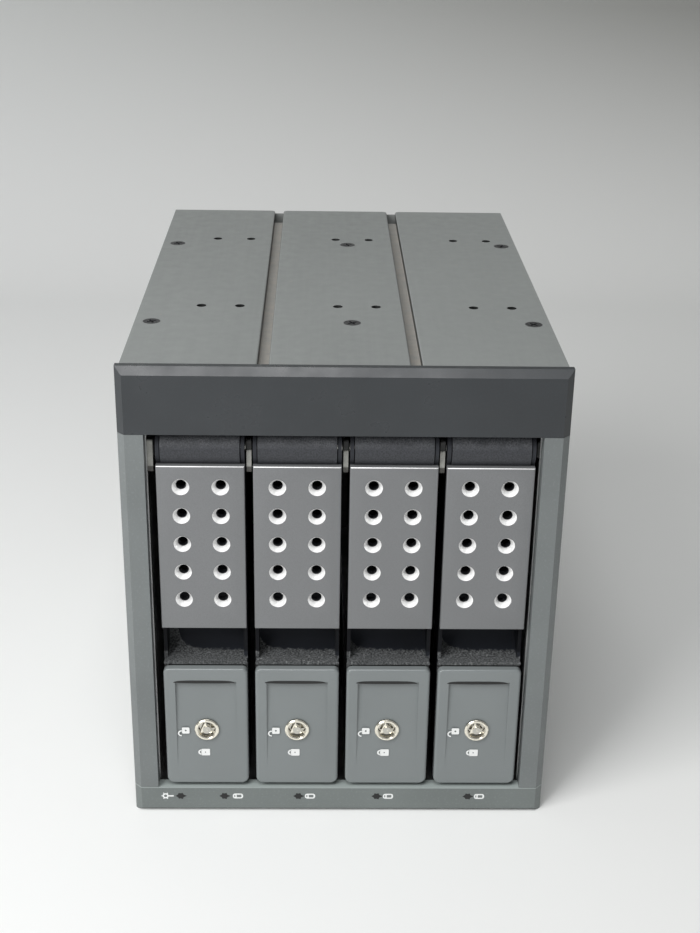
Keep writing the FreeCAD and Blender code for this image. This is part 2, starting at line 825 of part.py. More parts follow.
# ---------------------------------------------------------------- tray pieces, drawn on a tray's centre line
def rail_channel():
    """Upper rail of the carrier: a channel that opens towards the guide plate."""
    low = middle_z + web_half
    web = low + rail_web
    high = middle_z + tray_half_height
    inner = tray_half - rail_wall
    section = [
        (-tray_half, low, rail_bend_radius), (tray_half, low, rail_bend_radius), (tray_half, high, 0),
        (inner, high, 0), (inner, web, rail_root_radius), (-inner, web, rail_root_radius),
        (-inner, high, 0), (-tray_half, high, 0),
    ]
    rail = prism(section, "xz", moulding_back, frame_back)
    holes = []
    for step in range(2):
        y = drive_back - drive_hole_from_back - step * drive_hole_spacing
        sink = drive_hole_sink_radius - drive_hole_radius
        holes.append(rod_z(drive_hole_radius, low - 1, web + 1, drive_hole_x, y))
        holes.append(Part.makeCone(drive_hole_sink_radius, drive_hole_radius, sink, Vector(drive_hole_x, y, web),
                                   Vector(0, 0, -1)))
    return rail.cut(holes)


def tray_frame():
    """U-shaped drive carrier: two channel rails joined at the back by a tie bar."""
    upper = rail_channel()
    tie_back = frame_back
    tie = block(-tray_half, -tray_half + tie_bar_width, tie_back - tie_bar_thickness, tie_back,
                middle_z - web_half - rail_web, middle_z + web_half + rail_web)
    return fused([upper, mirrored(upper), tie])


def tray_front():
    """Black front moulding: button pocket, curved finger scoop, lever recess and hinge ears."""
    ear_radius = knuckle_radius - ear_relief
    side_front = plate_back + running_gap
    low = middle_z - tray_half_height
    body = block(-tray_half, tray_half, moulding_front, moulding_back, low, hinge_z)
    flank = block(-tray_half, tray_half, side_front, moulding_front, plate_bottom, hinge_z)
    ears = rod_x(ear_radius, -tray_half, tray_half, hinge_y, hinge_z)
    crown = block(-tray_half, tray_half, hinge_y, moulding_back, hinge_z, hinge_z + ear_radius)
    shell = fused([body, flank, ears, crown])
    front = -1.0
    inner = moulding_inner
    wide = inner + lever_side_gap / 2
    pocket = block(-inner, inner, front, moulding_back - moulding_wall, pocket_bottom, pocket_top)
    recess_corners = [
        (front, scoop_floor, 0), (recess_back, scoop_floor, scoop_radius), (recess_back, shelf_z + moulding_wall, 0),
        (front, shelf_z + moulding_wall, 0),
    ]
    recess = prism(recess_corners, "yz", -wide, wide)
    knuckle_space = block(-wide, wide, front, moulding_back - moulding_wall, shelf_z + moulding_wall, bezel_height)
    rail_space = block(-tray_half + rail_wall, tray_half - rail_wall, hinge_y, moulding_back + 1,
                       middle_z + web_half + rail_web, bezel_height)
    rear_hollow = block(-inner, inner, recess_back + moulding_wall, moulding_back + 1, scoop_floor, shelf_z)
    lip_low = button_top + button_skirt_gap
    lip_corners = rectangle(-tray_half, tray_half, lip_low, scoop_floor, scoop_lip_radius)
    lip = prism(lip_corners, "xz", button_back, moulding_front)
    latch_half = latch_width / 2 + latch_gap
    arm_slot = block(-latch_half, latch_half, recess_back + moulding_wall, moulding_back + 1,
                     pocket_top - 2 * moulding_wall, scoop_floor + 1)
    nose_slot = block(-latch_half, latch_half, recess_back - 1, recess_back + 2 * moulding_wall,
                      latch_z - latch_gap, latch_z + latch_thickness + latch_gap)
    cuts = [pocket, recess, knuckle_space, rail_space, rear_hollow, arm_slot, nose_slot]
    vent_half = inner - 2 * moulding_wall
    for index in range(back_vent_count):
        z = shelf_z - back_vent_height - index * back_vent_pitch
        corners = rectangle(-vent_half, vent_half, z - back_vent_height / 2, z + back_vent_height / 2,
                            back_vent_radius)
        cuts.append(prism(corners, "xz", recess_back - 1, recess_back + 2 * moulding_wall))
    cuts.append(rod_x(hinge_pin_radius + hinge_seat, -tray_half - 1, tray_half + 1, hinge_y, hinge_z))
    return fused([shell.cut(cuts), lip])


def lever():
    """Black lever: knuckle around the pin, vented back behind the face plate, ribs, cam heel and catch."""
    half = moulding_inner - lever_side_gap / 2
    bottom = plate_bottom + running_gap
    back = lever_back + lever_rib_depth
    knuckle = rod_x(knuckle_radius, -half, half, hinge_y, hinge_z)
    web = prism([(plate_back, bottom, 0), (lever_back, bottom, lever_foot_radius), (lever_back, hinge_z, 0),
                 (plate_back + lever_side_gap, hinge_z, 0), (plate_back, plate_top, 0)], "yz", -half, half)
    parts = [knuckle, web]
    rib_low = bottom + lever_rib_depth
    rib_high = hinge_z - knuckle_radius / 2
    for side in (-1, 1):
        x_low = min(side * half, side * (half - lever_rib_width))
        corners = [(lever_back, rib_low, 0), (back, rib_low + 2 * lever_rib_depth, lever_rib_radius),
                   (back, rib_high, 0), (lever_back, rib_high, 0)]
        parts.append(prism(corners, "yz", x_low, x_low + lever_rib_width))
    for index in range(vent_rows - 1):
        z = plate_top - vent_top_margin - (index + 0.5) * vent_row_pitch
        parts.append(block(-half, half, lever_back, lever_back + lever_rib_depth / 2,
                           z - lever_rib_width / 2, z + lever_rib_width / 2))
    catch_half = latch_width / 2
    parts.append(block(-catch_half, catch_half, lever_back, back, latch_z, latch_z + 2 * latch_thickness))
    parts.append(cam_heel())
    body = fused(parts)
    holes = [rod_x(hinge_pin_radius + hinge_running, -half - 1, half + 1, hinge_y, hinge_z)]
    for x, z in vent_places():
        holes.append(rod_y(vent_inner_radius, plate_back - 1, back + 1, x, z))
    return body.cut(holes)


def cam_heel():
    """Short cam on the back of the knuckle that bears on the guide rail's nose as the lever opens."""
    def polar(radius, degrees):
        angle = math.radians(degrees)
        return (hinge_y + radius * math.sin(angle), hinge_z + radius * math.cos(angle))

    root = knuckle_radius - 1
    tip_spread = 6
    corners = [
        (*polar(root, heel_angle - 20), 0), (*polar(heel_radius, heel_angle), heel_tip_radius),
        (*polar(heel_radius, heel_angle + 2 * tip_spread), heel_tip_radius),
        (*polar(root, heel_angle + 50), 0),
    ]
    return prism(corners, "yz", -heel_width / 2, heel_width / 2)


def vent_places():
    """Centres of the vent holes of one lever."""
    places = []
    for column in range(vent_columns):
        x = (column - (vent_columns - 1) / 2) * vent_column_pitch
        for row in range(vent_rows):
            places.append((x, plate_top - vent_top_margin - row * vent_row_pitch))
    return places


def face_plate():
    """Aluminium face plate with deep countersunk vent holes and a fine bevel along its front edges."""
    plate = block(-tray_half, tray_half, plate_recess, plate_back, plate_bottom, plate_top)
    plate = plate.makeChamfer(plate_edge_chamfer, edges_where(plate, lambda p: near(p.y, plate_recess)))
    cuts = []
    for x, z in vent_places():
        front = Vector(x, plate_recess, z)
        cuts.append(Part.makeCone(vent_outer_radius, vent_inner_radius, vent_cone_depth, front, Y_AXIS))
        cuts.append(rod_y(vent_inner_radius, plate_recess + vent_cone_depth, plate_back + 1, x, z))
    return plate.cut(cuts)


def hinge_pin():
    """Bright pin through the ears and the knuckle, with bevelled ends."""
    reach = tray_half + hinge_pin_proud
    pin = rod_x(hinge_pin_radius, -reach, reach, hinge_y, hinge_z)
    return pin.makeChamfer(hinge_pin_proud * 0.6, pin.Edges[:1] + pin.Edges[2:3])


def button():
    """Release button: rounded cap with a wedge-shaped thumb step, skirt, lock boss and latch arm."""
    cap_corners = [
        (-button_half, button_bottom, button_bottom_radius), (button_half, button_bottom, button_bottom_radius),
        (button_half, button_top, button_top_radius), (-button_half, button_top, button_top_radius),
    ]
    cap = prism(cap_corners, "xz", button_recess, button_back)
    cap = cap.makeFillet(button_edge_round, edges_where(cap, lambda p: near(p.y, button_recess)))
    step_z = button_top - thumb_top_margin
    wedge = prism([(button_recess - 1, step_z, 0), (button_recess + thumb_depth, step_z, 0.3),
                   (button_recess, step_z - thumb_length, 0), (button_recess - 1, step_z - thumb_length, 0)],
                  "yz", -thumb_width / 2, thumb_width / 2)
    cap = cap.cut(wedge)
    skirt_half = moulding_inner - button_skirt_gap
    skirt_low = pocket_bottom + button_skirt_gap
    skirt_high = pocket_top - button_skirt_gap
    skirt_back = button_back + button_skirt_depth
    wall = moulding_wall
    skirt = block(-skirt_half, skirt_half, button_back, skirt_back, skirt_low, skirt_high)
    skirt = skirt.cut(block(-skirt_half + wall, skirt_half - wall, button_back, skirt_back + 1,
                            skirt_low + wall, skirt_high - wall))
    boss_back = lock_back - screw_clearance
    boss = rod_y(lock_radius + lock_running + lock_boss_wall, button_back, boss_back, 0, lock_z)
    half = latch_width / 2
    web = block(-half, half, button_back, latch_back, skirt_high - latch_thickness, skirt_high)
    arm = block(-half, half, latch_front, latch_back, skirt_high - latch_thickness, latch_z + latch_thickness)
    nose_front = lever_back + lever_rib_depth + latch_catch_gap
    nose = prism([(nose_front, latch_z, 0), (latch_back, latch_z, 0), (latch_back, latch_z + latch_thickness, 0),
                  (nose_front + latch_thickness, latch_z + latch_thickness, 0)], "yz", -half, half)
    body = fused([cap, skirt, boss, web, arm, nose])
    return body.cut(rod_y(lock_radius + lock_running, -1, lock_back + 1, 0, lock_z))


def lock():
    """Key lock: barrel with an annular key groove, a centre post, an index notch and a rear cam."""
    front = button_recess - lock_proud
    barrel = rod_y(lock_radius, front, lock_back, 0, lock_z)
    barrel = barrel.makeChamfer(lock_edge_chamfer, edges_where(barrel, lambda p: near(p.y, front)))
    groove = rod_y(lock_groove_outer, front - 1, front + lock_groove_depth, 0, lock_z)
    groove = groove.cut(rod_y(lock_groove_inner, front - 2, front + lock_groove_depth + 1, 0, lock_z))
    notch = block(-lock_cam_thickness / 3, lock_cam_thickness / 3, front - 1, front + lock_groove_depth / 2,
                  lock_z - lock_radius, lock_z - lock_groove_inner)
    cam = block(-lock_cam_width / 2, lock_cam_width / 2, lock_back, lock_back + lock_cam_thickness,
                lock_z - lock_cam_length, lock_z + lock_cam_width / 2)
    return fused([barrel.cut([groove, notch]), cam])


# ---------------------------------------------------------------- rear end
def backplane_board():
    """Circuit board behind the drives, with air windows beside the receptacles."""
    board = block(-board_half_width, board_half_width, board_front, board_back, board_low, board_high)
    cuts = []
    window_half_width = (tray_pitch - 2 * receptacle_width) / 4
    window_half_height = board_window_height / 2
    pitch = board_window_height + board_window_rib
    for x in tray_centres:
        for step in range(board_window_rows):
            z = middle_z + (step - (board_window_rows - 1) / 2) * pitch
            centre = x + receptacle_x - receptacle_width - window_half_width - 1
            corners = rectangle(centre - window_half_width, centre + window_half_width,
                                z - window_half_height, z + window_half_height, 1.5)
            cuts.append(prism(corners, "xz", board_front - 1, board_back + 1))
    return board.cut(cuts)


def drive_receptacle(x):
    """Receptacle that a drive plugs into: housing with a power slot and a signal slot."""
    centre_x = x + receptacle_x
    z = middle_z - receptacle_drop
    front = board_front - receptacle_depth
    half = receptacle_length / 2
    body = prism(rectangle(centre_x - receptacle_width / 2, centre_x + receptacle_width / 2, z - half, z + half, 0.8),
                 "xz", front, board_front)
    slot_low = z - receptacle_slot_length / 2
    split = slot_low + receptacle_slot_length * 0.6
    slot_half = receptacle_slot_width / 2
    back = front + receptacle_slot_depth
    slots = [
        block(centre_x - slot_half, centre_x + slot_half, front - 1, back, slot_low, split),
        block(centre_x - slot_half, centre_x + slot_half, front - 1, back, split + 2,
              slot_low + receptacle_slot_length),
    ]
    return body.cut(slots)


def drive_receptacles():
    """One receptacle for each bay."""
    return Part.makeCompound([drive_receptacle(x) for x in tray_centres])


def rear_socket(x, z, width, height):
    """Shrouded socket on the back of the board, open to the rear, with a key rib inside."""
    back = board_back + socket_depth
    body = prism(rectangle(x - width / 2, x + width / 2, z - height / 2, z + height / 2, 0.6), "xz", board_back, back)
    inner_x = width / 2 - socket_wall
    inner_z = height / 2 - socket_wall
    cavity = block(x - inner_x, x + inner_x, back - socket_cavity_depth, back + 1, z - inner_z, z + inner_z)
    key = block(x - inner_x, x + inner_x - 2 * socket_key_width, back - socket_cavity_depth, back - socket_wall,
                z - socket_wall / 2, z + socket_wall / 2)
    return body.cut(cavity).fuse(key).removeSplitter()


def power_header(x, z):
    """Four-pin power header: deep shroud with round pins."""
    width = power_header_width
    height = power_header_height
    back = board_back + socket_depth
    corners = [
        (x - width / 2, z - height / 2, 0.6), (x + width / 2, z - height / 2, 0.6),
        (x + width / 2, z + height / 2, power_header_corner),
        (x - width / 2, z + height / 2, power_header_corner),
    ]
    body = prism(corners, "xz", board_back, back)
    inner_x = width / 2 - socket_wall
    inner_z = height / 2 - socket_wall
    cavity = prism(rectangle(x - inner_x, x + inner_x, z - inner_z, z + inner_z, 0.8), "xz",
                   back - socket_cavity_depth, back + 1)
    pins = []
    for index in range(4):
        pin_x = x + (index - 1.5) * (width - 2 * socket_wall) / 4.1
        pins.append(rod_y(power_pin_radius, back - socket_cavity_depth, back - socket_wall, pin_x, z))
    return fused([body.cut(cavity)] + pins)


def data_sockets():
    """One data socket for each drive."""
    places = [place for place in socket_places() if place[2] == data_socket_width]
    return Part.makeCompound([rear_socket(*place) for place in places])


def power_headers():
    """The two power headers."""
    places = [place for place in socket_places() if place[2] == power_header_width]
    return Part.makeCompound([power_header(x, z) for x, z, width, height in places])


def standoffs():
    """Spacers between the backplane and the rear panel."""
    pieces = []
    for x, z in standoff_places():
        spacer = rod_y(standoff_radius, board_back, rear_inner, x, z)
        pieces.append(spacer.cut(rod_y(standoff_hole_radius, board_back - 1, rear_inner + 1, x, z)))
    return Part.makeCompound(pieces)


def fan_frame():
    """Square fan housing: two corner flanges, a round barrel, and a motor base on four struts."""
    x = tray_shift
    z = middle_z
    half = fan_size / 2
    square = rectangle(x - half, x + half, z - half, z + half, fan_corner_radius)
    front_flange = prism(square, "xz", rear_outer, rear_outer + fan_flange)
    back_flange = prism(square, "xz", fan_back - fan_flange, fan_back)
    barrel = rod_y(fan_bore_radius + fan_wall, rear_outer, fan_back, x, z)
    frame = fused([front_flange, back_flange, barrel])
    cuts = [rod_y(fan_bore_radius, rear_outer - 1, fan_back + 1, x, z)]
    for hole_x, hole_z in fan_hole_places():
        cuts.append(rod_y(fan_hole_radius, rear_outer - 1, fan_back + 1, hole_x, hole_z))
    frame = frame.cut(cuts)
    base_front = fan_back - fan_base_thickness
    parts = [frame, rod_y(fan_base_radius, base_front, fan_back, x, z)]
    bearing_front = rear_outer + rotor_front_gap + 2 * rotor_hub_wall + 1
    parts.append(rod_y(fan_bearing_radius, bearing_front, fan_back, x, z))
    for index in range(4):
        strut = block(x, x + fan_bore_radius + fan_wall / 2, base_front, fan_back,
                      z - fan_strut_width / 2, z + fan_strut_width / 2)
        parts.append(strut.rotate(Vector(x, 0, z), Y_AXIS, 45 + 90 * index))
    bore = rod_y(fan_shaft_radius + fan_shaft_running, bearing_front - 1, fan_back - 1, x, z)
    return fused(parts).cut(bore)


def rotor_blade():
    """One cambered blade, lofted from the hub to the tip and drawn for the top of the wheel."""
    front = rear_outer + rotor_front_gap + 1
    back = fan_back - fan_base_thickness - rotor_back_gap - 1

    def section(radius, lean):
        half = blade_half_span * lean
        rise = blade_camber
        start = Vector(tray_shift - half, front, middle_z + radius)
        end = Vector(tray_shift + half, back, middle_z + radius)
        middle = (start + end) / 2 + Vector(rise, -rise, 0)
        skin = Vector(blade_thickness, 0, 0)
        lower = Part.Arc(start, middle, end).toShape()
        upper = Part.Arc(end + skin, middle + skin, start + skin).toShape()
        cap_end = Part.LineSegment(end, end + skin).toShape()
        cap_start = Part.LineSegment(start + skin, start).toShape()
        return Part.Wire([lower, cap_end, upper, cap_start])

    return Part.makeLoft([section(rotor_hub_radius - 2.5, 0.6), section(rotor_tip_radius, 1.0)], True, True)


def fan_rotor():
    """Fan wheel: hub cup with a shaft and seven cambered blades."""
    x = tray_shift
    z = middle_z
    front = rear_outer + rotor_front_gap
    back = fan_back - fan_base_thickness - rotor_back_gap
    cup = rod_y(rotor_hub_radius, front, back, x, z)
    cavity = rod_y(rotor_hub_radius - rotor_hub_wall, front + rotor_hub_wall, back + 1, x, z)
    blades = []
    blade = rotor_blade()
    for index in range(rotor_blades):
        copy = blade.copy()
        copy.rotate(Vector(x, 0, z), Y_AXIS, 360 / rotor_blades * index)
        blades.append(copy)
    wheel = cup.fuse(blades).cut(cavity)
    shaft = rod_y(fan_shaft_radius, front + rotor_hub_wall / 2, fan_back - fan_shaft_end_gap, x, z)
    return wheel.fuse(shaft).removeSplitter()


def finger_guard():
    """Guard over the fan: concentric rings on two crossed arms that end in the screw eyelets."""
    x = tray_shift
    z = middle_z
    reach = fan_hole_spacing / math.sqrt(2)
    parts = []
    for radius in guard_rings:
        ring = rod_y(radius + guard_wire / 2, fan_back, guard_back, x, z)
        parts.append(ring.cut(rod_y(radius - guard_wire / 2, fan_back - 1, guard_back + 1, x, z)))
    for index in range(2):
        arm = block(x - reach, x + reach, fan_back, guard_back, z - guard_wire / 2, z + guard_wire / 2)
        arm.rotate(Vector(x, 0, z), Y_AXIS, 45 + 90 * index)
        parts.append(arm)
    for hole_x, hole_z in fan_hole_places():
        parts.append(rod_y(guard_eyelet_radius, fan_back, guard_back, hole_x, hole_z))
    guard = fused(parts)
    hole = fan_screw_radius + screw_clearance
    return guard.cut([rod_y(hole, fan_back - 1, guard_back + 1, hx, hz) for hx, hz in fan_hole_places()])


def fan_screws():
    """Pan-head screws through the guard, the fan and the rear panel."""
    screws = []
    for x, z in fan_hole_places():
        shank = rod_y(fan_screw_radius, rear_inner, guard_back, x, z)
        head = rod_y(fan_screw_head_radius, guard_back, overall_depth, x, z)
        head = head.makeFillet(0.8, [e for e in head.Edges if all(near(v.Point.y, overall_depth) for v in e.Vertexes)])
        arm = fan_screw_radius
        slot = shell_screw_recess / 2
        cross = block(x - arm, x + arm, overall_depth - 1, overall_depth + 1, z - slot, z + slot)
        cross = cross.fuse(block(x - slot, x + slot, overall_depth - 1, overall_depth + 1, z - arm, z + arm))
        screws.append(fused([shank, head]).cut(cross))
    return Part.makeCompound(screws)


# ---------------------------------------------------------------- saving
def save(shape, node):
    """Write one node, moved so that the cage's origin is at the centre of its base."""
    placed = shape.copy()
    placed.translate(Vector(0, -overall_depth / 2, 0))
    placed.exportStep(os.path.join("parts", node + ".step"))


def build_cage():
    """Fixed pieces: shell, front frame, inner cage and rear end."""
    panel = outer_panel()
    screws = shell_screws()
    save(panel, "top_panel")
    save(mirrored_shell(panel), "bottom_panel")
    save(screws, "top_panel_screws")
    save(mirrored_shell(screws), "bottom_panel_screws")
    save(side_cover(-1), "left_cover")
    save(side_cover(1), "right_cover")
    save(rear_panel(), "rear_panel")
    save(bezel_upper_block(), "bezel_upper_block")
    save(bezel_stile(-1), "bezel_left_stile")
    save(bezel_stile(1), "bezel_right_stile")
    save(led_strip(), "led_strip")
    save(light_pipes(), "light_pipes")
    save(indicator_board(), "indicator_board")
    save(upper_guide_plate(), "upper_guide_plate")
    save(lower_guide_plate(), "lower_guide_plate")
    save(guide_rails(True), "upper_guide_rails")
    save(mirrored(guide_rails(False)), "lower_guide_rails")
    save(inner_side(-1), "left_inner_side")
    save(inner_side(1), "right_inner_side")
    save(upper_stiffener(), "upper_stiffener")
    save(lower_stiffener(), "lower_stiffener")
    save(strike_comb(), "strike_comb")


def build_rear():
    """Backplane, sockets and fan."""
    save(backplane_board(), "backplane_board")
    save(drive_receptacles(), "drive_receptacles")
    save(data_sockets(), "data_sockets")
    save(power_headers(), "power_headers")
    save(standoffs(), "backplane_standoffs")
    save(fan_frame(), "fan_frame")
    save(fan_rotor(), "fan_rotor")
    save(finger_guard(), "finger_guard")
    save(fan_screws(), "fan_screws")


def build_trays():
    """The same seven pieces in each bay."""
    pieces = {
        "frame": tray_frame(),
        "front": tray_front(),
        "lever": lever(),
        "face_plate": face_plate(),
        "hinge_pin": hinge_pin(),
        "button": button(),
        "lock": lock(),
    }
    for index, x in enumerate(tray_centres):
        for name, shape in pieces.items():
            copy = shape.copy()
            copy.translate(Vector(x, 0, 0))
            save(copy, "tray_%d_%s" % (index + 1, name))


os.makedirs("parts", exist_ok=True)
build_cage()
build_rear()
build_trays()
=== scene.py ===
"""Looks of a four-bay hot swap drive cage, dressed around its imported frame.

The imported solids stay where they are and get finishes. What a solid is too plain for is made here:
the drilled face plates, the screws of the outer panels, the comb's tabs, the lock faces and the
printed symbols. Every size below is in metres, in the frame's own axes: the front of the cage faces
-Y and +Z is up. Only the symbols are drawn in millimetres.
"""
import logging
import math
from dataclasses import dataclass
from enum import Enum
from typing import Iterable, Optional, Sequence

import bmesh
import bpy
from mathutils import Matrix, Vector


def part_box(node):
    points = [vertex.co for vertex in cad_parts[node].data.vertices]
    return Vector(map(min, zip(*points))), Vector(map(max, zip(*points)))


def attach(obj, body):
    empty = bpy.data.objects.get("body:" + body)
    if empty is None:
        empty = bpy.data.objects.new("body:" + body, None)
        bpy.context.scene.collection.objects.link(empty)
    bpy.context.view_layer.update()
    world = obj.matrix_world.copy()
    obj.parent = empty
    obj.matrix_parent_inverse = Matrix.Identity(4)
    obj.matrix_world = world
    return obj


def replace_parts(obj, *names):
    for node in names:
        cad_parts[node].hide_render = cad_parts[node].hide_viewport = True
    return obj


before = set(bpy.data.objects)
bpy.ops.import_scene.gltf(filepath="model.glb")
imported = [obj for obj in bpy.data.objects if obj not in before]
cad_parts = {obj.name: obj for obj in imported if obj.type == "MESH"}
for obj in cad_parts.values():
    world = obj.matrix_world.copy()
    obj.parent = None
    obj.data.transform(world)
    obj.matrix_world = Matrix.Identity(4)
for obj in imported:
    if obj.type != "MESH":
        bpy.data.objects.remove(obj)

LOG = logging.getLogger("drive_cage")
MM = 0.001
Colour = tuple[float, float, float]
Loop = list[tuple[float, float]]
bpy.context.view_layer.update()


# ---------------------------------------------------------------- shader trees
class ShaderTree:
    """A material with a principled shader and short calls to wire patterns into it."""

    def __init__(self, name: str) -> None:
        """Make the empty material.

        Args:
            name: The finish's own name.
        """
        self.material = bpy.data.materials.new(name)
        self.material.use_nodes = True
        self.tree = self.material.node_tree
        self.tree.nodes.clear()
        self.shader = self.tree.nodes.new("ShaderNodeBsdfPrincipled")
        output = self.tree.nodes.new("ShaderNodeOutputMaterial")
        self.tree.links.new(self.shader.outputs["BSDF"], output.inputs["Surface"])
        self.place = self.tree.nodes.new("ShaderNodeTexCoord").outputs["Object"]

    def set(self, **values: object) -> None:
        """Set constants on the shader's own sockets; an underscore stands for a space."""
        for name, value in values.items():
            self.shader.inputs[name.replace("_", " ")].default_value = value

    def stretched(self, stretch: Sequence[float]) -> bpy.types.NodeSocket:
        """Coordinates scaled along each axis.

        Args:
            stretch: Factor along X, Y and Z.

        Returns:
            The socket that gives the scaled coordinates.
        """
        mapping = self.tree.nodes.new("ShaderNodeMapping")
        mapping.inputs["Scale"].default_value = stretch
        self.tree.links.new(self.place, mapping.inputs["Vector"])
        return mapping.outputs["Vector"]

    def noise(self, scale: float, detail: float = 3.0,
              stretch: Sequence[float] = (1, 1, 1)) -> bpy.types.NodeSocket:
        """Cloudy pattern from 0 to 1.

        Args:
            scale: Repeats in a metre.
            detail: Octaves of finer pattern.
            stretch: Factor along each axis.

        Returns:
            The pattern's value socket.
        """
        node = self.tree.nodes.new("ShaderNodeTexNoise")
        node.inputs["Scale"].default_value = scale
        node.inputs["Detail"].default_value = detail
        self.tree.links.new(self.stretched(stretch), node.inputs["Vector"])
        return node.outputs["Fac"]

    def ramp(self, value: bpy.types.NodeSocket, low: float, high: float, out_low: float = 0.0,
             out_high: float = 1.0) -> bpy.types.NodeSocket:
        """Spread part of a value's range over another range.

        Args:
            value: The input socket.
            low: Input that gives out_low.
            high: Input that gives out_high.
            out_low: Output at or below low.
            out_high: Output at or above high.

        Returns:
            The spread value's socket.
        """
        node = self.tree.nodes.new("ShaderNodeMapRange")
        limits = {"From Min": low, "From Max": high, "To Min": out_low, "To Max": out_high}
        for name, number in limits.items():
            node.inputs[name].default_value = number
        self.tree.links.new(value, node.inputs["Value"])
        return node.outputs["Result"]

    def axis(self, name: str) -> bpy.types.NodeSocket:
        """One coordinate of the surface point.

        Args:
            name: "X", "Y" or "Z".

        Returns:
            The coordinate's socket.
        """
        node = self.tree.nodes.new("ShaderNodeSeparateXYZ")
        self.tree.links.new(self.place, node.inputs["Vector"])
        return node.outputs[name]

    def facing(self, name: str) -> bpy.types.NodeSocket:
        """One component of the surface's own normal.

        Args:
            name: "X", "Y" or "Z".

        Returns:
            The component's socket.
        """
        geometry = self.tree.nodes.new("ShaderNodeNewGeometry")
        node = self.tree.nodes.new("ShaderNodeSeparateXYZ")
        self.tree.links.new(geometry.outputs["Normal"], node.inputs["Vector"])
        return node.outputs[name]

    def feed(self, socket: bpy.types.NodeSocket, value: object) -> None:
        """Give an input its value.

        Args:
            socket: The input.
            value: A constant, or a socket to link.
        """
        if isinstance(value, bpy.types.NodeSocket):
            self.tree.links.new(value, socket)
        else:
            socket.default_value = value

    def math(self, operation: str, first: object, second: object = 0.0) -> bpy.types.NodeSocket:
        """Arithmetic on one or two values.

        Args:
            operation: The math node's operation.
            first: Number or socket.
            second: Number or socket.

        Returns:
            The result's socket.
        """
        node = self.tree.nodes.new("ShaderNodeMath")
        node.operation = operation
        for socket, value in zip(node.inputs, (first, second)):
            self.feed(socket, value)
        return node.outputs["Value"]

    def multiply(self, first: bpy.types.NodeSocket, second: bpy.types.NodeSocket) -> bpy.types.NodeSocket:
        """Product of two values."""
        return self.math("MULTIPLY", first, second)

    def blend(self, share: bpy.types.NodeSocket, first: object, second: object) -> bpy.types.NodeSocket:
        """Mix two colours.

        Args:
            share: How much of the second colour shows.
            first: A colour, or a socket that gives one.
            second: A colour, or a socket that gives one.

        Returns:
            The mixed colour's socket.
        """
        node = self.tree.nodes.new("ShaderNodeMix")
        node.data_type = "RGBA"
        self.tree.links.new(share, node.inputs["Factor"])
        colour_inputs = [socket for socket in node.inputs if socket.type == "RGBA"]
        for socket, value in zip(colour_inputs, (first, second)):
            self.feed(socket, value if isinstance(value, bpy.types.NodeSocket) else (*value, 1.0))
        return next(socket for socket in node.outputs if socket.type == "RGBA")

    def colour(self, socket: bpy.types.NodeSocket) -> None:
        """Use a socket as the base colour."""
        self.tree.links.new(socket, self.shader.inputs["Base Color"])

    def roughness(self, socket: bpy.types.NodeSocket) -> None:
        """Use a socket as the roughness."""
        self.tree.links.new(socket, self.shader.inputs["Roughness"])

    def bump(self, height: bpy.types.NodeSocket, strength: float, depth: float) -> None:
        """Raise the surface by a pattern.

        Args:
            height: The pattern.
            strength: Share of the full effect.
            depth: Height of the pattern in metres.
        """
        node = self.tree.nodes.new("ShaderNodeBump")
        node.inputs["Strength"].default_value = strength
        node.inputs["Distance"].default_value = depth
        self.tree.links.new(height, node.inputs["Height"])
        self.tree.links.new(node.outputs["Normal"], self.shader.inputs["Normal"])


def shade(colour: Colour, factor: float) -> Colour:
    """A lighter or darker copy of a colour."""
    return tuple(min(1.0, part * factor) for part in colour)


# ---------------------------------------------------------------- finishes
@dataclass(frozen=True)
class PaintedSheet:
    """Satin paint with a fine grain and faint streaks, dust where it is sunk and painted shade on upright
    walls.
    """

    name: str
    colour: Colour
    roughness: float = 0.42
    grain: float = 2600.0
    dust: Colour = (0.33, 0.31, 0.28)
    dusty_below: Optional[float] = None
    dust_starts: float = 0.6 * MM
    dust_full: float = 1.6 * MM
    dark_walls: bool = False
    wall_shade: float = 0.06

    def material(self) -> bpy.types.Material:
        """Wire the finish.

        Returns:
            The finished material.
        """
        tree = ShaderTree(self.name)
        tree.set(Roughness=self.roughness)
        cloud = tree.noise(18.0, 4.0, (1.0, 0.35, 1.0))
        streak = tree.noise(900.0, 2.0, (1.0, 0.02, 1.0))
        base = tree.blend(tree.ramp(cloud, 0.35, 0.65), shade(self.colour, 0.95), shade(self.colour, 1.05))
        base = tree.blend(tree.ramp(streak, 0.3, 0.7, 0.0, 0.35), base, shade(self.colour, 1.12))
        speck = tree.ramp(tree.noise(420.0, 2.0), 0.74, 0.78, 0.0, 0.5)
        base = tree.blend(speck, base, self.dust)
        if self.dusty_below is not None:
            sunk = tree.ramp(tree.axis("Z"), self.dusty_below - self.dust_full,
                             self.dusty_below - self.dust_starts, 1.0, 0.0)
            patch = tree.ramp(tree.noise(300.0, 5.0), 0.3, 0.62, 0.35, 1.0)
            base = tree.blend(tree.multiply(sunk, patch), base, self.dust)
        if self.dark_walls:
            # painted shade: upright faces such as hole walls, groove walls and cut edges are darkened
            upright = tree.ramp(tree.math("ABSOLUTE", tree.facing("Z")), 0.25, 0.6, 1.0, 0.0)
            base = tree.blend(upright, base, shade(self.colour, self.wall_shade))
        tree.colour(base)
        sheen = tree.noise(240.0, 3.0)
        tree.roughness(tree.ramp(sheen, 0.3, 0.7, self.roughness - 0.05, self.roughness + 0.08))
        tree.bump(tree.noise(self.grain, 2.0), 0.25, 0.00004)
        return tree.material


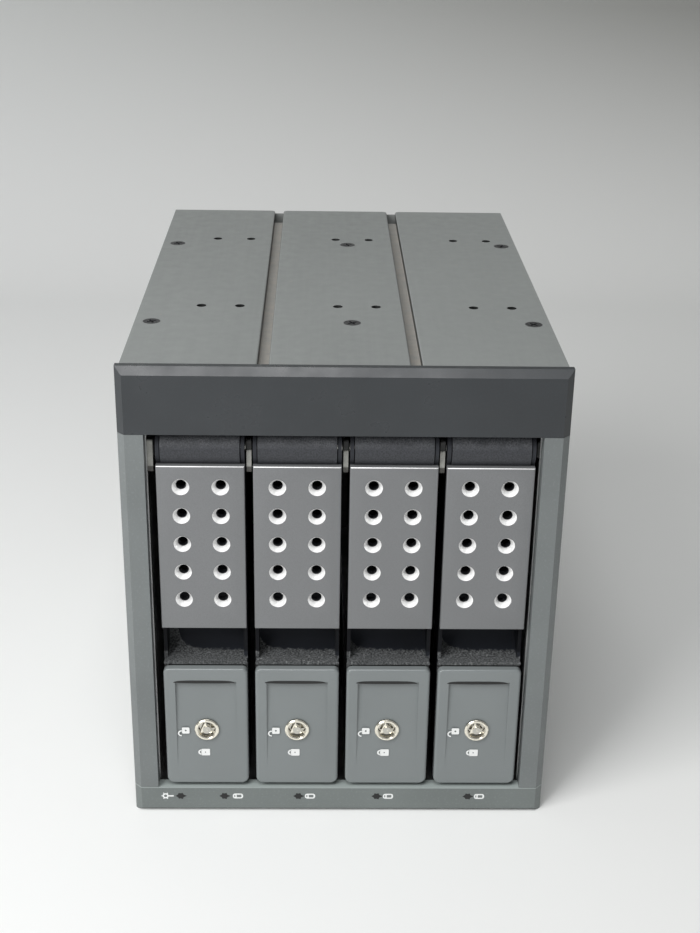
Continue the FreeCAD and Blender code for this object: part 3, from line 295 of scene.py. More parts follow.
@dataclass(frozen=True)
class MouldedPlastic:
    """Moulded plastic with a spark texture, slight shine differences and, where told, a painted highlight
    along its top edge.
    """

    name: str
    colour: Colour
    roughness: float = 0.45
    texture: float = 1800.0
    texture_depth: float = 0.03 * MM
    worn_above: Optional[float] = None
    worn_fade: float = 0.2 * MM
    worn_shade: float = 2.2

    def material(self) -> bpy.types.Material:
        """Wire the finish.

        Returns:
            The finished material.
        """
        tree = ShaderTree(self.name)
        tree.set(Roughness=self.roughness)
        cloud = tree.noise(35.0, 4.0)
        base = tree.blend(tree.ramp(cloud, 0.35, 0.65), shade(self.colour, 0.94), shade(self.colour, 1.06))
        fine = tree.noise(self.texture, 2.0)
        base = tree.blend(tree.ramp(fine, 0.55, 0.75, 0.0, 0.18), base, shade(self.colour, 1.9))
        if self.worn_above is not None:
            # painted highlight: everything above the given height is lightened, standing for light caught by
            # the top edge
            worn = tree.ramp(tree.axis("Z"), self.worn_above, self.worn_above + self.worn_fade)
            base = tree.blend(worn, base, shade(self.colour, self.worn_shade))
        tree.colour(base)
        sheen = tree.noise(120.0, 3.0)
        tree.roughness(tree.ramp(sheen, 0.3, 0.7, self.roughness - 0.05, self.roughness + 0.1))
        tree.bump(fine, 0.35, self.texture_depth)
        return tree.material


@dataclass(frozen=True)
class LeverPlastic:
    """Dark spark-textured moulding with fine dust along the top of its knuckle."""

    name: str
    colour: Colour = (0.036, 0.038, 0.044)
    dust: Colour = (0.15, 0.155, 0.165)
    dust_starts: float = 122.2 * MM
    dust_full: float = 124.8 * MM

    def material(self) -> bpy.types.Material:
        """Wire the finish.

        Returns:
            The finished material.
        """
        tree = ShaderTree(self.name)
        tree.set(Roughness=0.62)
        spark = tree.noise(2300.0, 3.0)
        base = tree.blend(tree.ramp(spark, 0.35, 0.65), shade(self.colour, 0.7), shade(self.colour, 1.35))
        band = tree.ramp(tree.axis("Z"), self.dust_starts, self.dust_full)
        grain = tree.ramp(tree.noise(2600.0, 4.0), 0.4, 0.62, 0.12, 0.8)
        patch = tree.ramp(tree.noise(260.0, 3.0), 0.3, 0.6, 0.35, 1.0)
        base = tree.blend(tree.multiply(tree.multiply(band, grain), patch), base, self.dust)
        tree.colour(base)
        tree.bump(spark, 0.5, 0.06 * MM)
        return tree.material


@dataclass(frozen=True)
class ScoopPlastic:
    """Black moulding whose scoop holds grey dust, left out above a curved edge as a painted shadow of the
    lever.

    The dust's upper edge climbs towards the left as rise / distance ** 3.
    """

    name: str
    left: float
    wall_front: float
    lint_share: float
    colour: Colour = (0.017, 0.019, 0.024)
    dust: Colour = (0.1, 0.104, 0.106)
    lint: Colour = (0.45, 0.46, 0.46)
    ear_colour: Colour = (0.036, 0.038, 0.044)
    level: float = 53.45 * MM
    rise: float = 2.4e-10
    nearest: float = 0.4 * MM
    raggedness: float = 0.25 * MM
    wall_depth: float = 5.5 * MM
    wall_foot: float = 1.2 * MM
    ears_above: float = 114.5 * MM

    def dusty(self, tree: ShaderTree) -> bpy.types.NodeSocket:
        """Where the dust shows, below the painted shadow of the lever.

        Args:
            tree: The material that is being wired.

        Returns:
            A socket that is 1 in the dust and 0 in the painted shadow above its edge.
        """
        along = tree.math("MAXIMUM", tree.math("SUBTRACT", tree.axis("X"), self.left), self.nearest)
        climb = tree.math("DIVIDE", self.rise, tree.math("POWER", along, 3.0))
        edge = tree.math("ADD", self.level, climb)
        ragged = tree.ramp(tree.noise(900.0, 4.0), 0.3, 0.7, -self.raggedness, self.raggedness)
        below = tree.math("SUBTRACT", tree.math("ADD", edge, ragged), tree.axis("Z"))
        return tree.ramp(below, -0.1 * MM, 0.3 * MM)

    def material(self) -> bpy.types.Material:
        """Wire the finish.

        Returns:
            The finished material.
        """
        tree = ShaderTree(self.name)
        tree.set(Roughness=0.5, Specular_IOR_Level=0.12)
        cloud = tree.noise(60.0, 4.0)
        base = tree.blend(tree.ramp(cloud, 0.3, 0.7), shade(self.colour, 0.85), shade(self.colour, 1.2))
        grain = tree.noise(1900.0, 5.0)
        grey = tree.blend(tree.ramp(grain, 0.36, 0.66), shade(self.dust, 0.35), shade(self.dust, 1.5))
        thread = tree.ramp(tree.noise(1300.0, 7.0, (1.0, 1.0, 0.5)), 0.58, 0.68, 0.0, self.lint_share)
        grey = tree.blend(thread, grey, self.lint)
        # painted shadow: the dust shows only below the lever's shadow edge
        base = tree.blend(self.dusty(tree), base, grey)
        # painted shade: faces that look sideways are darkened
        sideways = tree.ramp(tree.math("ABSOLUTE", tree.facing("X")), 0.5, 0.8)
        base = tree.blend(sideways, base, shade(self.colour, 0.6))
        # painted shade: the hollow's walls within wall_depth of the front, above a foot just over the dust
        # level, are darkened
        depth = tree.math("SUBTRACT", tree.axis("Y"), self.wall_front)
        wall = tree.ramp(depth, self.wall_depth, self.wall_depth + 0.5 * MM, 1.0, 0.0)
        foot = self.level + self.wall_foot
        wall = tree.multiply(wall, tree.ramp(tree.axis("Z"), foot, foot + 0.4 * MM))
        base = tree.blend(wall, base, shade(self.colour, 0.35))
        ears = tree.ramp(tree.axis("Z"), self.ears_above, self.ears_above + 0.1 * MM)
        tree.colour(tree.blend(ears, base, self.ear_colour))
        tree.bump(grain, 0.4, 0.06 * MM)
        return tree.material


@dataclass(frozen=True)
class ButtonPlastic:
    """Smooth, slightly glossy grey moulding of the release buttons."""

    name: str
    colour: Colour = (0.205, 0.224, 0.226)

    def material(self) -> bpy.types.Material:
        """Wire the finish.

        Returns:
            The finished material.
        """
        tree = ShaderTree(self.name)
        tree.set(Roughness=0.24)
        cloud = tree.noise(40.0, 3.0)
        base = tree.blend(tree.ramp(cloud, 0.35, 0.65), shade(self.colour, 0.97), shade(self.colour, 1.03))
        speck = tree.ramp(tree.noise(1100.0, 2.0), 0.74, 0.78, 0.0, 0.25)
        tree.colour(tree.blend(speck, base, shade(self.colour, 1.5)))
        tree.bump(tree.noise(500.0, 2.0), 0.3, 0.01 * MM)
        return tree.material


@dataclass(frozen=True)
class Metal:
    """Metal sheet or turned metal with rolling lines along one axis and small tone changes."""

    name: str
    colour: Colour
    roughness: float = 0.3
    metallic: float = 1.0
    lines: Sequence[float] = (1.0, 0.03, 1.0)
    spangle: float = 0.0
    shaded_below: Optional[float] = None
    shaded_colour: Colour = (0.055, 0.05, 0.045)

    def material(self) -> bpy.types.Material:
        """Wire the finish.

        Returns:
            The finished material.
        """
        tree = ShaderTree(self.name)
        tree.set(Metallic=self.metallic, Roughness=self.roughness)
        line = tree.noise(1600.0, 3.0, self.lines)
        base = tree.blend(tree.ramp(line, 0.3, 0.7), shade(self.colour, 0.88), shade(self.colour, 1.06))
        if self.spangle > 0:
            patch = tree.ramp(tree.noise(110.0, 1.0), 0.4, 0.6, 0.0, self.spangle)
            base = tree.blend(patch, base, shade(self.colour, 0.7))
        if self.shaded_below is not None:
            low = tree.ramp(tree.axis("Z"), self.shaded_below, self.shaded_below + 0.3 * MM, 0.85, 0.0)
            base = tree.blend(low, base, self.shaded_colour)
        tree.colour(base)
        sheen = tree.noise(200.0, 4.0)
        tree.roughness(tree.ramp(sheen, 0.3, 0.7, self.roughness * 0.8, self.roughness * 1.25))
        tree.bump(line, 0.2, 0.02 * MM)
        return tree.material


@dataclass(frozen=True)
class AnodisedPlate:
    """Grey anodised aluminium with a bead-blasted grain and a few pale scratches."""

    name: str
    colour: Colour
    roughness: float = 0.5
    metallic: float = 0.45

    def material(self) -> bpy.types.Material:
        """Wire the finish.

        Returns:
            The finished material.
        """
        tree = ShaderTree(self.name)
        tree.set(Metallic=self.metallic, Roughness=self.roughness)
        grain = tree.noise(3200.0, 2.0)
        base = tree.blend(tree.ramp(grain, 0.35, 0.65), shade(self.colour, 0.93), shade(self.colour, 1.07))
        drift = tree.noise(22.0, 3.0, (1.0, 1.0, 0.5))
        base = tree.blend(tree.ramp(drift, 0.35, 0.65, 0.0, 0.5), base, shade(self.colour, 0.93))
        scratch = tree.ramp(tree.noise(260.0, 2.0, (0.12, 1.0, 1.6)), 0.77, 0.8, 0.0, 0.45)
        tree.colour(tree.blend(scratch, base, shade(self.colour, 1.7)))
        tree.roughness(tree.ramp(grain, 0.3, 0.7, self.roughness - 0.05, self.roughness + 0.08))
        tree.bump(grain, 0.3, 0.02 * MM)
        return tree.material


@dataclass(frozen=True)
class PrintedInk:
    """Screen-printed ink, or near-black for the dark marks and the painted shade under the thumb step, with
    fainter patches in it.
    """

    name: str
    colour: Colour = (0.86, 0.87, 0.86)

    def material(self) -> bpy.types.Material:
        """Wire the finish.

        Returns:
            The finished material.
        """
        tree = ShaderTree(self.name)
        tree.set(Roughness=0.55)
        worn = tree.ramp(tree.noise(1500.0, 3.0), 0.62, 0.8, 0.0, 0.5)
        tree.colour(tree.blend(worn, self.colour, shade(self.colour, 0.7)))
        return tree.material


@dataclass(frozen=True)
class CircuitBoard:
    """Solder mask with faint copper traces under it."""

    name: str
    colour: Colour = (0.012, 0.09, 0.04)
    traces_per_metre: float = 240.0
    trace_share: float = 0.06

    def material(self) -> bpy.types.Material:
        """Wire the finish.

        Returns:
            The finished material.
        """
        tree = ShaderTree(self.name)
        tree.set(Roughness=0.3)
        trace = tree.tree.nodes.new("ShaderNodeTexBrick")
        trace.inputs["Scale"].default_value = self.traces_per_metre
        trace.inputs["Mortar Size"].default_value = self.trace_share
        trace.inputs["Color1"].default_value = (*self.colour, 1.0)
        trace.inputs["Color2"].default_value = (*shade(self.colour, 0.85), 1.0)
        trace.inputs["Mortar"].default_value = (*shade(self.colour, 1.6), 1.0)
        turned = tree.tree.nodes.new("ShaderNodeMapping")
        turned.inputs["Rotation"].default_value = (math.pi / 2, 0, 0)
        tree.tree.links.new(tree.place, turned.inputs["Vector"])
        tree.tree.links.new(turned.outputs["Vector"], trace.inputs["Vector"])
        tree.colour(trace.outputs["Color"])
        tree.bump(trace.outputs["Fac"], 0.3, 0.03 * MM)
        return tree.material


class Finish(Enum):
    """Every finish of the cage."""

    SHELL = PaintedSheet("satin_shell_paint", (0.235, 0.248, 0.243), dusty_below=146.05 * MM,
                          dark_walls=True)
    SIDE_SHELL = PaintedSheet("side_shell_paint", (0.25, 0.262, 0.255))
    BLOCK = MouldedPlastic("bezel_block_moulding", (0.03, 0.034, 0.038), roughness=0.3, texture=1400.0,
                           texture_depth=0.01 * MM)
    BAR = MouldedPlastic("bezel_bar_moulding", (0.17, 0.185, 0.185), roughness=0.4, texture=1400.0)
    # the strip's top edge carries a painted highlight
    STRIP = MouldedPlastic("bezel_strip_moulding", (0.165, 0.185, 0.18), roughness=0.4, texture=1400.0,
                           worn_above=8.6 * MM)
    BLACK_SCREW = Metal("black_oxide", (0.09, 0.09, 0.095), roughness=0.42, metallic=0.8)
    STEEL_SCREW = Metal("zinc_screw", (0.62, 0.62, 0.6), roughness=0.28)
    ZINC = Metal("galvanised_sheet", (0.58, 0.59, 0.59), roughness=0.38, spangle=0.5)
    BRIGHT = Metal("bright_plated_steel", (0.78, 0.77, 0.74), roughness=0.22)
    NICKEL = Metal("nickel_lock", (0.82, 0.79, 0.7), roughness=0.2, lines=(1.0, 1.0, 1.0))
    BRASS = Metal("turned_brass", (0.66, 0.5, 0.22), roughness=0.25)
    COMB = Metal("shaded_comb", (0.06, 0.06, 0.06), roughness=0.5, metallic=0.6)
    TAB = Metal("comb_tab", (0.42, 0.42, 0.39), roughness=0.4, metallic=0.3, shaded_below=115.9 * MM)
    BARE = Metal("bare_aluminium", (0.97, 0.97, 0.96), roughness=0.4, metallic=0.35, lines=(1.0, 1.0, 1.0))
    CREAM = Metal("lock_ring", (0.95, 0.9, 0.78), roughness=0.16, metallic=0.9, lines=(1.0, 1.0, 1.0))
    # near-black: the lamp-hole marks and the painted shade under the thumb step
    SMUDGE = PrintedInk("dark_smudge", (0.012, 0.012, 0.012))
    PLATE = AnodisedPlate("anodised_face_plate", (0.225, 0.23, 0.236))
    LEVER = LeverPlastic("lever_moulding")
    BUTTON = ButtonPlastic("button_moulding")
    RAIL = MouldedPlastic("rail_nylon", (0.04, 0.04, 0.043), roughness=0.5)
    TRAY_STEEL = Metal("tray_sheet", (0.52, 0.53, 0.53), roughness=0.4, spangle=0.5)
    PIPE = MouldedPlastic("light_pipe", (0.012, 0.013, 0.013), roughness=0.12, texture_depth=0.005 * MM)
    SOCKET = MouldedPlastic("socket_moulding", (0.02, 0.02, 0.022), roughness=0.4)
    HEADER = MouldedPlastic("header_moulding", (0.72, 0.71, 0.66), roughness=0.5)
    FAN = MouldedPlastic("fan_moulding", (0.018, 0.018, 0.02), roughness=0.36, texture=900.0)
    BOARD = CircuitBoard("solder_mask")
    INK = PrintedInk("white_print")

    def made(self) -> bpy.types.Material:
        """The finish's material, made once and shared."""
        found = bpy.data.materials.get(self.value.name)
        return found if found else self.value.material()


# ---------------------------------------------------------------- dressing and making pieces
def dress(node: str, finish: Finish | ScoopPlastic, smooth: float = 32.0) -> None:
    """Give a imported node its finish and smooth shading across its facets.

    Args:
        node: The node's name.
        finish: A shared finish, or a bay's own, for all its material slots.
        smooth: Edges sharper than this many degrees stay sharp.
    """
    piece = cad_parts[node]
    material = finish.made() if isinstance(finish, Finish) else finish.material()
    for slot in piece.material_slots:
        slot.material = material
    if not piece.material_slots:
        piece.data.materials.append(material)
    modifier = piece.modifiers.new("smooth", "NODES")
    modifier.node_group = smoothing_tree()
    set_inputs(modifier, {"Angle": math.radians(smooth)})
    LOG.info("dressed %s as %s", node, material.name)


def set_inputs(modifier: bpy.types.NodesModifier, values: dict[str, object]) -> None:
    """Set a geometry tree's inputs by their sockets' identifiers.

    Args:
        modifier: The modifier that runs the tree.
        values: Input names and values.
    """
    for item in modifier.node_group.interface.items_tree:
        if item.item_type == "SOCKET" and item.in_out == "INPUT" and item.name in values:
            modifier[item.identifier] = values[item.name]


def plain_piece(name: str, mesh: bpy.types.Mesh, body: str) -> bpy.types.Object:
    """A finished piece at the origin that rides on a body.

    Args:
        name: The piece's name.
        mesh: Its mesh, already in place.
        body: The body that carries it.

    Returns:
        The new object.
    """
    piece = bpy.data.objects.new(name, mesh)
    bpy.context.scene.collection.objects.link(piece)
    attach(piece, body)
    LOG.info("made %s with %d faces on %s", name, len(mesh.polygons), body)
    return piece


class GeometryTree:
    """A geometry node tree with named inputs, built in a few calls."""

    def __init__(self, name: str) -> None:
        """Start a tree that takes and gives geometry.

        Args:
            name: The tree's name.
        """
        self.group = bpy.data.node_groups.new(name, "GeometryNodeTree")
        self.group.interface.new_socket("Geometry", in_out="INPUT", socket_type="NodeSocketGeometry")
        self.group.interface.new_socket("Geometry", in_out="OUTPUT", socket_type="NodeSocketGeometry")
        self.source = self.group.nodes.new("NodeGroupInput")
        self.sink = self.group.nodes.new("NodeGroupOutput")

    def number(self, name: str, value: float, whole: bool = False) -> bpy.types.NodeSocket:
        """Add a named input.

        Args:
            name: The input's name.
            value: Its default.
            whole: Whether it counts something.

        Returns:
            The socket to read it from.
        """
        kind = "NodeSocketInt" if whole else "NodeSocketFloat"
        item = self.group.interface.new_socket(name, in_out="INPUT", socket_type=kind)
        item.default_value = value
        return self.source.outputs[name]

    def node(self, kind: str, inputs: Optional[dict[str, object]] = None,
             **settings: object) -> bpy.types.Node:
        """Add a node.

        Args:
            kind: The node type without its GeometryNode prefix, or a full ShaderNode or FunctionNode name.
            inputs: Sockets or constants for its inputs, by name.
            **settings: The node's own properties.

        Returns:
            The node.
        """
        full = kind if kind.startswith(("ShaderNode", "FunctionNode")) else "GeometryNode" + kind
        made = self.group.nodes.new(full)
        for name, value in settings.items():
            setattr(made, name, value)
        for name, value in (inputs or {}).items():
            socket = made.inputs[int(name)] if name.isdigit() else made.inputs[name]
            if isinstance(value, bpy.types.NodeSocket):
                self.group.links.new(value, socket)
            else:
                socket.default_value = value
        return made

    def math(self, operation: str, first: object, second: object = 0.0) -> bpy.types.NodeSocket:
        """Arithmetic on one or two values.

        Args:
            operation: The math node's operation.
            first: Value or socket.
            second: Value or socket.

        Returns:
            The result's socket.
        """
        return self.node("ShaderNodeMath", {"0": first, "1": second}, operation=operation).outputs[0]

    def finish(self, geometry: bpy.types.NodeSocket,
               material: Optional[bpy.types.Material]) -> bpy.types.NodeTree:
        """Close the tree with Realize Instances and Set Material.

        Args:
            geometry: What the tree has made.
            material: Its material, or None where faces already have theirs.

        Returns:
            The finished tree.
        """
        real = self.node("RealizeInstances", {"Geometry": geometry}).outputs[0]
        if material:
            real = self.node("SetMaterial", {"Geometry": real, "Material": material}).outputs[0]
        self.group.links.new(real, self.sink.inputs[0])
        return self.group


def smoothing_tree() -> bpy.types.NodeTree:
    """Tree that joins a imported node's loose triangles and shades them smooth up to an angle.

    Returns:
        The tree, made once and shared.
    """
    found = bpy.data.node_groups.get("smooth_by_angle")
    if found:
        return found
    tree = GeometryTree("smooth_by_angle")
    limit = tree.number("Angle", 0.5)
    whole = tree.node("MergeByDistance", {"Geometry": tree.source.outputs["Geometry"], "Distance": 1e-7})
    soft = tree.node("SetShadeSmooth", {"Geometry": whole.outputs[0], "Shade Smooth": True}, domain="FACE")
    angle = tree.node("InputMeshEdgeAngle")
    steep = tree.node("FunctionNodeCompare", {"0": angle.outputs["Unsigned Angle"], "1": limit},
                      data_type="FLOAT", operation="GREATER_THAN")
    sharp = tree.node("SetShadeSmooth", {"Geometry": soft.outputs[0], "Selection": steep.outputs[0],
                                         "Shade Smooth": False}, domain="EDGE")
    tree.group.links.new(sharp.outputs[0], tree.sink.inputs[0])
    return tree.group


def baked(name: str, base: bpy.types.Mesh, tree: bpy.types.NodeTree,
          values: dict[str, object]) -> bpy.types.Mesh:
    """Run a geometry tree on a mesh and keep the result as a plain mesh.

    Args:
        name: The new mesh's name.
        base: The mesh that the tree starts from.
        tree: The geometry tree.
        values: Its named inputs.

    Returns:
        The resulting mesh.
    """
    holder = bpy.data.objects.new(name + "_base", base)
    bpy.context.scene.collection.objects.link(holder)
    modifier = holder.modifiers.new("tree", "NODES")
    modifier.node_group = tree
    set_inputs(modifier, values)
    graph = bpy.context.evaluated_depsgraph_get()
    mesh = bpy.data.meshes.new_from_object(holder.evaluated_get(graph))
    mesh.name = name
    holder.modifiers.remove(modifier)
    bpy.data.objects.remove(holder)
    return mesh


def point_mesh(name: str, places: Iterable[Sequence[float]]) -> bpy.types.Mesh:
    """Make a mesh of loose points.

    Args:
        name: The mesh's name.
        places: Where the points are.

    Returns:
        The mesh.
    """
    mesh = bpy.data.meshes.new(name)
    mesh.from_pydata([tuple(place) for place in places], [], [])
    return mesh


def shade_by_angle(mesh: bpy.types.Mesh, degrees: float) -> None:
    """Shade a mesh smooth, keeping edges sharper than an angle.

    Args:
        mesh: The mesh.
        degrees: The angle.
    """
    shape = bmesh.new()
    shape.from_mesh(mesh)
    for face in shape.faces:
        face.smooth = True
    for edge in shape.edges:
        edge.smooth = len(edge.link_faces) == 2 and edge.calc_face_angle(0.0) < math.radians(degrees)
    shape.to_mesh(mesh)
    shape.free()


def closed_mesh(name: str, shape: bmesh.types.BMesh, *finishes: Finish) -> bpy.types.Mesh:
    """Turn a shape into a mesh whose faces point outwards, and free the shape.

    Args:
        name: The mesh's name.
        shape: The shape.
        *finishes: One finish for each material slot.

    Returns:
        The mesh.
    """
    bmesh.ops.recalc_face_normals(shape, faces=shape.faces)
    mesh = bpy.data.meshes.new(name)
    shape.to_mesh(mesh)
    shape.free()
    for finish in finishes:
        mesh.materials.append(finish.made())
    return mesh


# ---------------------------------------------------------------- flat printed symbols
def circle_loop(u: float, v: float, radius: float, count: int = 40) -> Loop:
    """Corners of a circle."""
    return [(u + radius * math.cos(2 * math.pi * i / count), v + radius * math.sin(2 * math.pi * i / count))
            for i in range(count)]


def rounded_loop(u: float, v: float, width: float, height: float, radius: float) -> Loop:
    """Corners of a rounded rectangle.

    Args:
        u: Middle across.
        v: Middle up.
        width: Full width.
        height: Full height.
        radius: Corner radius.

    Returns:
        The closed loop's points.
    """
    loop: Loop = []
    steps = 6
    for quarter, (su, sv) in enumerate(((1, 1), (-1, 1), (-1, -1), (1, -1))):
        centre = (u + su * (width / 2 - radius), v + sv * (height / 2 - radius))
        for step in range(steps + 1):
            angle = math.pi / 2 * (quarter + step / steps)
            loop.append((centre[0] + radius * math.cos(angle), centre[1] + radius * math.sin(angle)))
    return loop


def arc_stroke(u: float, v: float, radius: float, start: float, stop: float, width: float) -> Loop:
    """Outline of a bent bar.

    Args:
        u: Middle of the bend across.
        v: Middle of the bend up.
        radius: Radius of the bar's centre line.
        start: First angle in degrees.
        stop: Last angle in degrees.
        width: The bar's width.

    Returns:
        The closed loop's points.
    """
    steps = 20
    angles = [math.radians(start + (stop - start) * i / steps) for i in range(steps + 1)]
    outer, inner = ([(u + reach * math.cos(angle), v + reach * math.sin(angle)) for angle in angles]
                    for reach in (radius + width / 2, radius - width / 2))
    return outer + inner[::-1]


class Symbol(Enum):
    """The generic symbols that are printed on the cage, the dark marks over the lamp holes and the painted
    shade under the thumb step.
    """

    OPEN_PADLOCK = "open padlock"
    CLOSED_PADLOCK = "closed padlock"
    DRIVE = "drive"
    LAMP = "lamp"
    SMUDGE = "smudge"
    # painted shade: the dark patch under the button's thumb step
    SLIT = "slit"

    def loops(self) -> list[list[Loop]]:
        """Draw the symbol.

        Returns:
            Its patches in millimetres, each an outline followed by its holes.
        """
        if self is Symbol.OPEN_PADLOCK:
            body = [rounded_loop(0.0, 0.0, 2.3, 2.2, 0.35), circle_loop(0.0, 0.0, 0.28)]
            return [body, [arc_stroke(-1.35, -1.0, 0.85, 80, 275, 0.42)]]
        if self is Symbol.CLOSED_PADLOCK:
            body = [rounded_loop(0.45, 0.0, 2.7, 2.4, 0.3), circle_loop(0.4, 0.0, 0.2, 16)]
            shackle = [arc_stroke(-0.85, 0.0, 0.72, 84, 276, 0.5)]
            return [body, shackle]
        if self is Symbol.DRIVE:
            slit = rounded_loop(-1.0, 0.0, 0.34, 0.8, 0.12)
            window = rounded_loop(0.33, 0.0, 1.45, 0.98, 0.15)
            return [[rounded_loop(0.0, 0.0, 3.2, 1.85, 0.75), slit, window]]
        # painted shade: a near-black lens-shaped patch under the thumb step's ledge
        if self is Symbol.SLIT:
            turns = [2 * math.pi * step / 48 for step in range(48)]
            across = [math.copysign(9.2 * abs(math.cos(turn)) ** 0.5, math.cos(turn)) for turn in turns]
            up = [0.5 * math.sin(turn) - 0.25 * abs(math.cos(turn)) ** 6 for turn in turns]
            return [[list(zip(across, up))]]
        # a near-black star that is laid over a lamp hole
        if self is Symbol.SMUDGE:
            reaches = (1.9, 1.0, 1.3, 0.95, 1.25, 1.0, 1.6, 1.0, 1.2, 0.95, 1.35, 1.0)
            step = 2 * math.pi / len(reaches)
            star = [(reach * math.cos(point * step), reach * math.sin(point * step))
                    for point, reach in enumerate(reaches)]
            return [[star]]
        ring = [circle_loop(0.0, 0.0, 0.95), circle_loop(0.0, 0.0, 0.5)]
        patches = [ring, [rounded_loop(1.75, 0.0, 1.6, 0.5, 0.2)]]
        for degrees in (60, 120, 180, 240, 300):
            angle = math.radians(degrees)
            patches.append([circle_loop(1.12 * math.cos(angle), 1.12 * math.sin(angle), 0.2, 12)])
        return patches

    def mesh(self, places: Iterable[Vector], thickness: float = 0.03 * MM) -> bpy.types.Mesh:
        """Thin raised patches that face -Y, one copy of the symbol at each place.

        Args:
            places: Middle of each copy, on the surface that is printed.
            thickness: How far the ink stands off.

        Returns:
            The joined mesh.
        """
        shape = bmesh.new()
        for place in places:
            for patch in self.loops():
                self._add_patch(shape, patch, place, thickness)
        finish = Finish.SMUDGE if self in (Symbol.SMUDGE, Symbol.SLIT) else Finish.INK
        return closed_mesh("print_" + self.name.lower(), shape, finish)

    @staticmethod
    def _add_patch(shape: bmesh.types.BMesh, patch: list[Loop], place: Vector, thickness: float) -> None:
        """Add one filled patch with its rim.

        Args:
            shape: The mesh being built.
            patch: An outline followed by its holes, in millimetres.
            place: Where the symbol's middle is.
            thickness: How far the ink stands off.
        """
        rims = []
        for loop in patch:
            ring = [shape.verts.new((place.x + u * MM, place.y, place.z + v * MM)) for u, v in loop]
            rims.append([shape.edges.new((ring[i], ring[(i + 1) % len(ring)])) for i in range(len(ring))])
        edges = [edge for rim in rims for edge in rim]
        filled = bmesh.ops.triangle_fill(shape, use_beauty=True, use_dissolve=False, edges=edges)
        faces = [item for item in filled["geom"] if isinstance(item, bmesh.types.BMFace)]
        raised = bmesh.ops.extrude_face_region(shape, geom=faces)
        verts = [item for item in raised["geom"] if isinstance(item, bmesh.types.BMVert)]
        bmesh.ops.translate(shape, verts=verts, vec=(0, -thickness, 0))


# ---------------------------------------------------------------- sub-assemblies
@dataclass
class CrossScrews:
    """Countersunk cross-recess screws in rows, made by one geometry tree for each set."""

    head_radius: float = 2.6 * MM
    shank_radius: float = 1.45 * MM
    head_height: float = 1.15 * MM
    length: float = 5.0 * MM
    recess_width: float = 0.62 * MM
    recess_span: float = 3.0 * MM
    recess_depth: float = 0.75 * MM
    head_overlap: float = 0.02
    seed: int = 4

    def tree(self, name: str, finish: Finish) -> bpy.types.NodeTree:
        """Tree that puts one screw on every point, head up along +Z, each turned by chance.

        Args:
            name: The tree's name.
            finish: The screws' finish.

        Returns:
            The geometry tree.
        """
        tree = GeometryTree(name)
        head_radius = tree.number("Head Radius", self.head_radius)
        shank_radius = tree.number("Shank Radius", self.shank_radius)
        head_height = tree.number("Head Height", self.head_height)
        length = tree.number("Length", self.length)
        width = tree.number("Recess Width", self.recess_width)
        span = tree.number("Recess Span", self.recess_span)
        depth = tree.number("Recess Depth", self.recess_depth)
        head = tree.node("MeshCone", {"Vertices": 48, "Side Segments": 1, "Radius Top": head_radius,
                                      "Radius Bottom": shank_radius, "Depth": head_height})
        drop = tree.node("ShaderNodeCombineXYZ", {"Z": tree.math("MULTIPLY", head_height, -1.0)})
        head = tree.node("Transform", {"Geometry": head.outputs["Mesh"], "Translation": drop.outputs[0]})
        covered = tree.math("MULTIPLY", head_height, 1.0 - self.head_overlap)
        shank_length = tree.math("SUBTRACT", length, covered)
        shank = tree.node("MeshCylinder", {"Vertices": 32, "Radius": shank_radius, "Depth": shank_length})
        middle = tree.math("SUBTRACT", tree.math("MULTIPLY", shank_length, 0.5), length)
        low = tree.node("ShaderNodeCombineXYZ", {"Z": middle})
        shank = tree.node("Transform", {"Geometry": shank.outputs["Mesh"], "Translation": low.outputs[0]})
        arms = []
        deep = tree.math("MULTIPLY", depth, 2.0)
        for across, along in ((span, width), (width, span)):
            size = tree.node("ShaderNodeCombineXYZ", {"X": across, "Y": along, "Z": deep})
            arms.append(tree.node("MeshCube", {"Size": size.outputs[0]}))
        solid = tree.node("MeshBoolean", {"Mesh 2": head.outputs[0]}, operation="UNION", solver="EXACT")
        tree.group.links.new(shank.outputs[0], solid.inputs["Mesh 2"])
        cut = tree.node("MeshBoolean", {"Mesh 1": solid.outputs[0]}, operation="DIFFERENCE", solver="EXACT")
        for arm in arms:
            tree.group.links.new(arm.outputs["Mesh"], cut.inputs["Mesh 2"])
        spin = tree.node("FunctionNodeRandomValue", {"Max": (0, 0, math.pi), "Min": (0, 0, 0),
                                                     "Seed": self.seed}, data_type="FLOAT_VECTOR")
        rows = tree.node("InstanceOnPoints", {"Points": tree.source.outputs["Geometry"],
                                              "Instance": cut.outputs[0], "Rotation": spin.outputs[0]})
        return tree.finish(rows.outputs[0], finish.made())

    def mesh(self, name: str, places: Iterable[Vector], finish: Finish, turn: Matrix) -> bpy.types.Mesh:
        """All the screws of one set.

        Args:
            name: The mesh's name.
            places: Middle of each head's face, before the turn.
            finish: The screws' finish.
            turn: Rotation and move from "head up" to where the set belongs.

        Returns:
            The mesh, in place.
        """
        mesh = baked(name, point_mesh(name, places), self.tree(name + "_tree", finish), {})
        mesh.transform(turn)
        shade_by_angle(mesh, 35)
        return mesh


